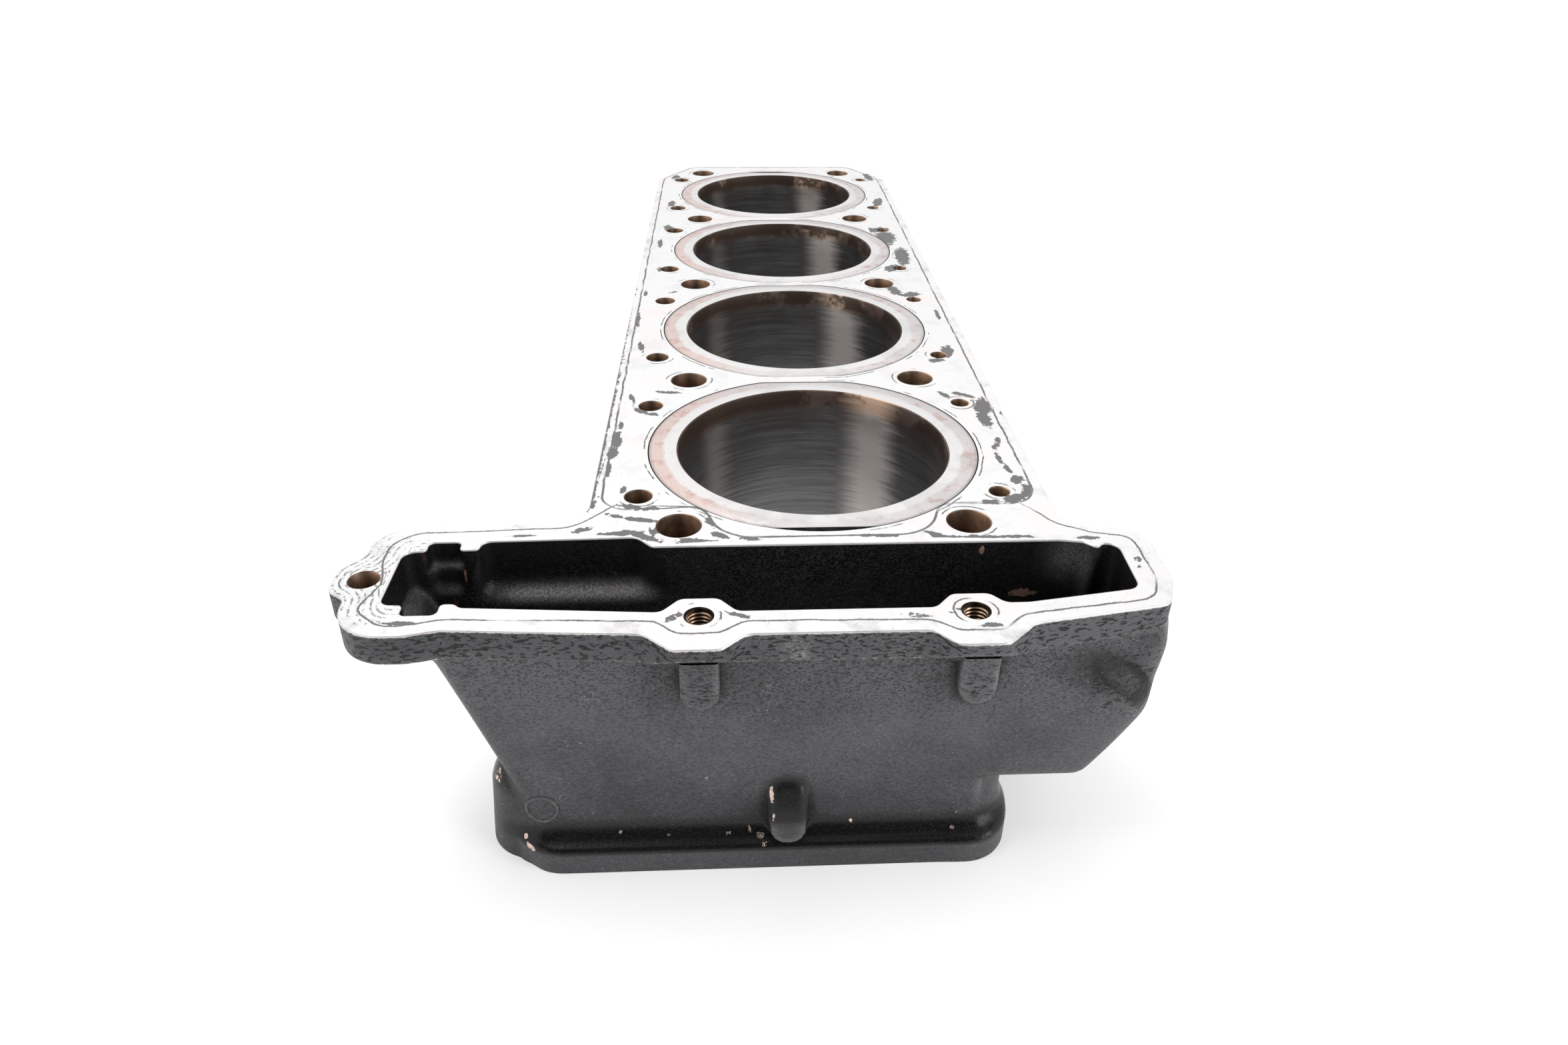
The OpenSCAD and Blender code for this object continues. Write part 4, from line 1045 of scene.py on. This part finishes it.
class BLOCK_OT_deck(bpy.types.Operator):
    """Machined deck face with its holes, and the painted band round the flange"""
    bl_idname = "block.deck"
    bl_label = "Deck"

    def execute(self, context):
        s = context.scene.block_sizes
        rim = s.rim / MM
        deck, paint = finish_of("machined_deck"), finish_of("black_paint")
        outer, slot = rounded(DECK_ROWS), rounded(RIM_ROWS)
        holes = []
        for side in (-1, 1):
            holes += [ring(x, y, s.stud / MM / 2 + rim) for x, y in STUDS if x * side > 0]
            holes += [ring(x, y, r + rim, 32) for x, y, r in COOLANT if x * side > 0]
        holes += [ring(x, y, r + rim, 32) for x, y, r in (*((x, COVER_Y, SCREW_R) for x in COVERS), (*EAR, EAR_R))]
        a = np.linspace(0, 2 * np.pi, s.turns, endpoint=False)
        seats = [hoop(a, y, seat_radius(a, s, SEAT_GAP + rim / 2, i > 0, i < 3))[:, :2] for i, y in enumerate(BORES)]
        co, tri = flat_face(grown(outer, -rim), [grown(slot, rim), *holes, *seats], 1.25)
        x, y = co.T
        hole = np.min([np.hypot(x - h[:, 0].mean(), y - h[:, 1].mean()) - np.ptp(h[:, 0]) / 2 for h in holes], 0)
        piece("deck_face", np.c_[co, np.zeros(len(co))], tri, [deck], smooth=False,
              marks={"edge_mm": -outline_distance(x, y, outer), "hole_mm": hole,
                     "seat_mm": np.min([outline_distance(x, y, h) for h in seats], 0),
                     "ear_mm": np.hypot(x - EAR[0], y - EAR[1]), "water_mm": within(x, y, WATER_ROWS),
                     "tunnel_mm": within(x, y, TUNNEL_ROWS), "residue": stuck(x, y)})
        # Rows of the band: how far out and how high, its thinning at the swellings, its wear, and its rubbing with
        # painted highlight.
        rows = np.array([
            (-rim, 0, 0, 0.9, 0), (-0.3 * rim, -0.09, 0, 1, 0), (0, -rim, 0, 0.75, 0.3), (0, -1, 0, 0, 0),
            (0, -3, 0.3, 0, 0), (0, -5, 0.6, 0, 0), (0, -6.9, 1, 0.1, 0.2), (-0.12, -7.5, 1, 0.5, 0.9),
            (-0.5, -7.88, 1, 0.5, 0.9), (-1.1, -FLANGE, 1, 0.1, 0.1), (-4, -FLANGE, 0.1, 0, 0)])
        verts, quads = carried(outer, rows[:, :2])
        n = len(outer)
        # The swellings are thinner: their underside slopes up from the flange's front edge to their own.
        verts[:, 2] += (rows[:, 2:3] * 0.8 * np.clip(FRONT - outer[:, 1], 0, 5.3)).ravel()
        # The band's painted shade grows towards its left end.
        piece("deck_band", verts, quads, [deck, paint], shade=np.arange(len(quads)) >= n * 2,
              marks={"worn": np.repeat(rows[:, 3], n), "gloss_and_shade": np.zeros(len(verts)),
                     "wrinkled": np.ones(len(verts)), "rub_and_highlight": np.repeat(rows[:, 4], n),
                     "painted_shade": 0.08 + 0.22 * soft_step(-verts[:, 0], 20, 60), **plain_marks(len(verts), 0)})
        verts, quads = carried(slot, [(rim, 0), (0.3 * rim, -0.09), (0, -rim), (0, -0.45)], up=False)
        piece("tunnel_rim", verts, quads, [deck], marks=plain_marks(len(verts), 0))
        return {"FINISHED"}


class BLOCK_OT_body(bpy.types.Operator):
    """Painted side and end walls of the jacket, the base flange and the base face"""
    bl_idname = "block.body"
    bl_label = "Body and base"

    def execute(self, context):
        paint, deck = finish_of("black_paint"), finish_of("machined_deck")
        path = rounded([(57, -46, 0), (59.5, -46, 0), (59.5, FAR - 27.4, 22), (43.5, FAR, 6), (-43.5, FAR, 6),
                        (-59.5, FAR - 27.4, 22), (-59.5, -46, 0), (-57, -46, 0)])[1:-1]
        q = np.radians(np.linspace(0, 90, 6))
        profile = [(-2.6 * math.sin(a), -10.6 + 2.6 * math.cos(a)) for a in q]
        profile += [(-2.3, -25), (-2.0, -42), (-1.6, -59.9)]
        profile += [(1.5 - 3.1 * math.cos(a), -59.9 - 3.1 * math.sin(a)) for a in q[1:]]
        profile += [(1.5, -63.4), (1.5, -69.6), (1.2, -HEIGHT)]
        verts, quads = carried(path, profile, closed=False)
        worn = [0] * (len(profile) - 3) + [0.5, 0.3, 0.5]
        # The fillet at the foot of the walls is glossier and painted dark as shade.
        gloss_and_shade = [0] * 9 + [0.2, 0.5, 0.8, 0.9, 0.6, 0.2, 0, 0]
        piece("body_walls", verts, quads, [paint], marks={
            "worn": np.repeat(worn, len(path)), "gloss_and_shade": np.repeat(gloss_and_shade, len(path)),
            "wrinkled": np.full(len(verts), 0.6)})
        mouth = rounded([(-66.4, FAR_WALL, 3), (-66.4, -77.6, 3), (-40, NEAR_WALL, 0),
                         *bend(COVERS[0], (8.4, NEAR_WALL)), (21.8, NEAR_WALL, 3), (26, -74.1, 3), (30, -74.1, 0),
                         (30, FAR_WALL, 0)])
        holes = [mouth, *(ring(0, y, FOOT_R + 0.05, 96) for y in BORES), *(ring(x, y, 5.5, 32) for x, y in STUDS)]
        co, tri = flat_face(rounded(BASE_ROWS), holes, 8.0)
        n = len(co)
        piece("base_face", np.c_[co, np.full(n, -HEIGHT)], tri[:, ::-1], [deck], smooth=False, marks=plain_marks(n))
        lug, faces = turned(-73, -73, [(11.5, -HEIGHT + 0.02), (0.01, -HEIGHT + 0.02)], inward=True)
        piece("lug_face", lug, faces, [deck], smooth=False, marks=plain_marks(len(lug)))
        edge = grown(rounded(DECK_ROWS), -3)
        edge[:, 1] = np.maximum(edge[:, 1], FRONT + 3)
        jacket = rounded([(-57, -46, 0), (57, -46, 0), (57, FAR - 5, 0), (-57, FAR - 5, 0)])
        under, tri = flat_face(edge, [grown(rounded(RIM_ROWS), 1.0), jacket], 20.0)
        n = len(under)
        piece("flange_underside", np.c_[under, np.full(n, -FLANGE)], tri[:, ::-1], [paint], smooth=False,
              marks={"worn": np.zeros(n), "gloss_and_shade": np.zeros(n)})
        return {"FINISHED"}


class BLOCK_OT_holes(bpy.types.Operator):
    """Walls of the stud, coolant, cover and ear holes, and the liners' seats"""
    bl_idname = "block.holes"
    bl_label = "Holes and seats"

    def execute(self, context):
        s = context.scene.block_sizes
        rim = s.rim / MM
        stain = finish_of("stained_hole")

        def walls(x, y, r, *depths, n=32):
            """Wall of a hole with its broken edge at the deck."""
            return turned(x, y, [(r + rim, 0), (r + 0.3 * rim, -0.09), (r, -rim), *((r, -d) for d in depths)], n, True)

        piece("stud_holes", *gather([walls(x, y, s.stud / MM / 2, 20, HEIGHT, n=48) for x, y in STUDS]), [stain])
        ear = turned(*EAR, [(EAR_R + rim, 0), (EAR_R, -rim), (EAR_R, -FLANGE)], 32, True)
        piece("coolant_holes", *gather([*(walls(x, y, r, 12) for x, y, r in COOLANT), ear]), [stain])
        # Thread: the radius is a triangle wave of the height plus the turn, which widens to the rim at the deck.
        a, z = np.linspace(0, 2 * np.pi, 33), np.linspace(0, -14, 281)[:, None]
        depth = 1 - np.abs(2 * ((z + a / (2 * np.pi)) % 1.0) - 1)
        r = 2.5 + 0.5 * depth
        r += ramp(z, -0.6, 0.6) * (SCREW_R + rim - r)
        parts = []
        for x in COVERS:
            pts = np.stack([x + r * np.cos(a), COVER_Y + r * np.sin(a), np.broadcast_to(z, r.shape)], -1)
            parts.append((pts.reshape(-1, 3), strips(r.shape, closed=False)))
            parts.append(turned(x, COVER_Y, [(3.0, -14), (0.05, -15.5)], 32, True))
        verts, quads = gather(parts)
        out = np.min([np.hypot(verts[:, 0] - x, verts[:, 1] - COVER_Y) for x in COVERS], 0)
        # Painted shade: roots of the thread and all of it deeper than 9 mm are marked for near black.
        crest = np.where(verts[:, 2] < -9, 0, np.clip((3.0 - out) / 0.5, 0, 1))
        piece("cover_threads", verts, quads, [finish_of("bright_thread")], marks={"crest": crest})
        a = np.linspace(0, 2 * np.pi, s.turns, endpoint=False)
        parts = []
        for i, y in enumerate(BORES):
            rows = [hoop(a, y, seat_radius(a, s, SEAT_GAP + grow, i > 0, i < 3), z)
                    for grow, z in ((rim / 2, 0), (0, -rim / 2), (0, -SEAT))]
            rows += [hoop(a, y, BARREL_R + 0.2, z) for z in (-SEAT, -12)]
            parts.append((np.concatenate(rows), strips((len(rows), len(a)))))
        crease(piece("liner_seats", *gather(parts), [finish_of("dark_gap")]), 40)
        return {"FINISHED"}


class BLOCK_OT_liners(bpy.types.Operator):
    """Iron liners: flat-sided ground collar, honed bore, barrel and foot"""
    bl_idname = "block.liners"
    bl_label = "Liners"

    def execute(self, context):
        s = context.scene.block_sizes
        finishes = [finish_of(name) for name in ("ground_iron", "honed_bore", "dark_gap")]
        n = s.turns
        a = np.linspace(0, 2 * np.pi, n + 1)
        r = s.bore / MM / 2
        foot = 0.4 - HEIGHT
        inner = [(r + 0.5, 0), (r + 0.12, -0.2), (r, -0.5), *[(r, -0.5 - 65.9 * k / 24) for k in range(1, 25)],
                 (r + 1.55, foot)]
        outer = [(FOOT_R, foot), (FOOT_R, -58), (BARREL_R, -58), (BARREL_R, -SEAT)]
        collar = [(seat_radius(a, s, grow, True, True), z)
                  for grow, z in ((0, -SEAT), (0, -0.3), (-0.12, -0.08), (-0.3, 0))]
        rows = [*inner, *outer, *collar, inner[0]]
        quads = strips((len(rows), n + 1), closed=False, flip=True)
        wall = np.arange(len(quads)) // n
        shade = np.where(wall < len(inner) - 1, 1, 0)
        shade[(wall > len(inner)) & (wall < len(rows) - 3)] = 2
        for i, y in enumerate(BORES):
            verts = np.concatenate([hoop(a, y, radius, z) for radius, z in rows])
            across = np.hypot(verts[:, 0], verts[:, 1] - y)
            uv = np.c_[np.tile(a * r * MM, len(rows)), np.where(verts[:, 2] > -0.15, r - across, -verts[:, 2]) * MM]
            crease(piece("liner_%d_iron" % (i + 1), verts, quads, finishes, slot="liner", shade=shade, uv=uv,
                         replaces=["liner_%d" % (i + 1)]), 35)
        return {"FINISHED"}


class BLOCK_OT_studio(bpy.types.Operator):
    """Floor, light and camera"""
    bl_idname = "block.studio"
    bl_label = "Studio"

    def execute(self, context):
        scene = context.scene
        s = scene.studio_sizes
        me = bpy.data.meshes.new("floor")
        me.from_pydata([(-6, -6, 0), (6, -6, 0), (6, 6, 0), (-6, 6, 0)], [], [(0, 1, 2, 3)])
        floor = linked("floor", me)
        m, inputs = plain("pale_floor", {"Base Color": (0.82, 0.82, 0.82, 1), "Roughness": 0.9,
                                         "Specular IOR Level": 0.1, "Emission Color": (1, 1, 1, 1)})
        seen = most(*(node(m.node_tree, "ShaderNodeLightPath", None, ray)
                      for ray in ("Is Camera Ray", "Is Glossy Ray", "Is Transmission Ray")))
        feed(inputs["Emission Strength"], seen * s.floor_glow)
        me.materials.append(m)
        floor.location.z = -0.0002
        world = bpy.data.worlds.new("studio")
        scene.world = world
        world.use_nodes = True
        t = world.node_tree
        back = t.nodes["Background"].inputs
        # Bright all round and overhead, dark in a patch high behind the camera.
        ray = node(t, "ShaderNodeTexCoord", None, "Generated")
        high = node(t, "ShaderNodeVectorMath", {0: ray, 1: (0, -0.68, 0.73)}, "Value", operation="DOT_PRODUCT")
        shown = node(t, "ShaderNodeLightPath", None, "Is Camera Ray")
        feed(back["Strength"], most(remap(high, 0.72, 0.9, 1.0, s.overhead) * s.sky, shown))
        feed(back["Color"], (1, 1, 1, 1))
        for name, place, size, watts in (("back_softbox", (0.1, 1.2, 1.1), (1.6, 1.0), 2.0),
                                         ("top_strip", (-0.4, 0.1, 1.3), (1.3, 0.25), 5.0),
                                         ("right_softbox", (0.95, -0.75, 0.55), (0.5, 0.9), 4.0)):
            lamp = bpy.data.lights.new(name, "AREA")
            lamp.shape, lamp.size, lamp.size_y, lamp.energy = "RECTANGLE", *size, watts
            box = linked(name, lamp)
            box.location = place
            box.rotation_euler = Vector(place).to_track_quat("Z", "Y").to_euler()
            box.visible_camera = False
        cam = bpy.data.cameras.new("camera")
        cam.lens, cam.sensor_width = s.lens, 36
        cam.clip_start, cam.clip_end = 0.01, 50
        scene.camera = linked("camera", cam)
        level = math.cos(s.tilt)
        ahead = Vector((math.sin(s.azimuth) * level, math.cos(s.azimuth) * level, -math.sin(s.tilt)))
        right = ahead.cross(Vector((0, 0, 1))).normalized()
        down = ahead.cross(right)
        c, n = math.cos(s.roll), math.sin(s.roll)
        right, down = right * c + down * n, down * c - right * n
        turn = Matrix((right, -down, -ahead)).transposed().to_4x4()
        scene.camera.matrix_world = Matrix.Translation(Vector(START) + Vector(s.place)) @ turn
        scene.view_settings.view_transform = "Standard"
        return {"FINISHED"}


OPERATORS = (BLOCK_OT_housing, BLOCK_OT_deck, BLOCK_OT_body, BLOCK_OT_holes, BLOCK_OT_liners, BLOCK_OT_studio)


class BLOCK_PT_parts(bpy.types.Panel):
    """Lists the block's pieces and their sizes"""
    bl_idname = "BLOCK_PT_parts"
    bl_label = "Cylinder block"
    bl_space_type = "VIEW_3D"
    bl_region_type = "UI"
    bl_category = "Block"

    def draw(self, context):
        for op in OPERATORS:
            self.layout.operator(op.bl_idname)
        for name in ("block_sizes", "block_colours", "studio_sizes"):
            group = getattr(context.scene, name)
            for key in group.__annotations__:
                self.layout.prop(group, key)


GROUPS = {"block_sizes": BlockSizes, "block_colours": BlockColours, "studio_sizes": StudioSizes}


def register():
    for group in GROUPS.values():
        bpy.utils.register_class(group)
    for name, group in GROUPS.items():
        setattr(bpy.types.Scene, name, PointerProperty(type=group))
    for cls in (*OPERATORS, BLOCK_PT_parts):
        bpy.utils.register_class(cls)


def unregister():
    for cls in (BLOCK_PT_parts, *reversed(OPERATORS)):
        bpy.utils.unregister_class(cls)
    for name, group in GROUPS.items():
        delattr(bpy.types.Scene, name)
        bpy.utils.unregister_class(group)


def main():
    """Dresses the part from the stage inwards."""
    register()
    bpy.ops.block.studio()
    bpy.ops.block.housing()
    bpy.ops.block.deck()
    bpy.ops.block.body()
    bpy.ops.block.holes()
    bpy.ops.block.liners()
    seal, _ = plain("seal_rubber", {"Base Color": (0.02, 0.02, 0.02, 1), "Roughness": 0.6})
    for i in range(4):
        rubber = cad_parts["liner_seal_%d" % (i + 1)]
        for slot in rubber.material_slots:
            slot.material = seal


if __name__ == "__main__":
    main()
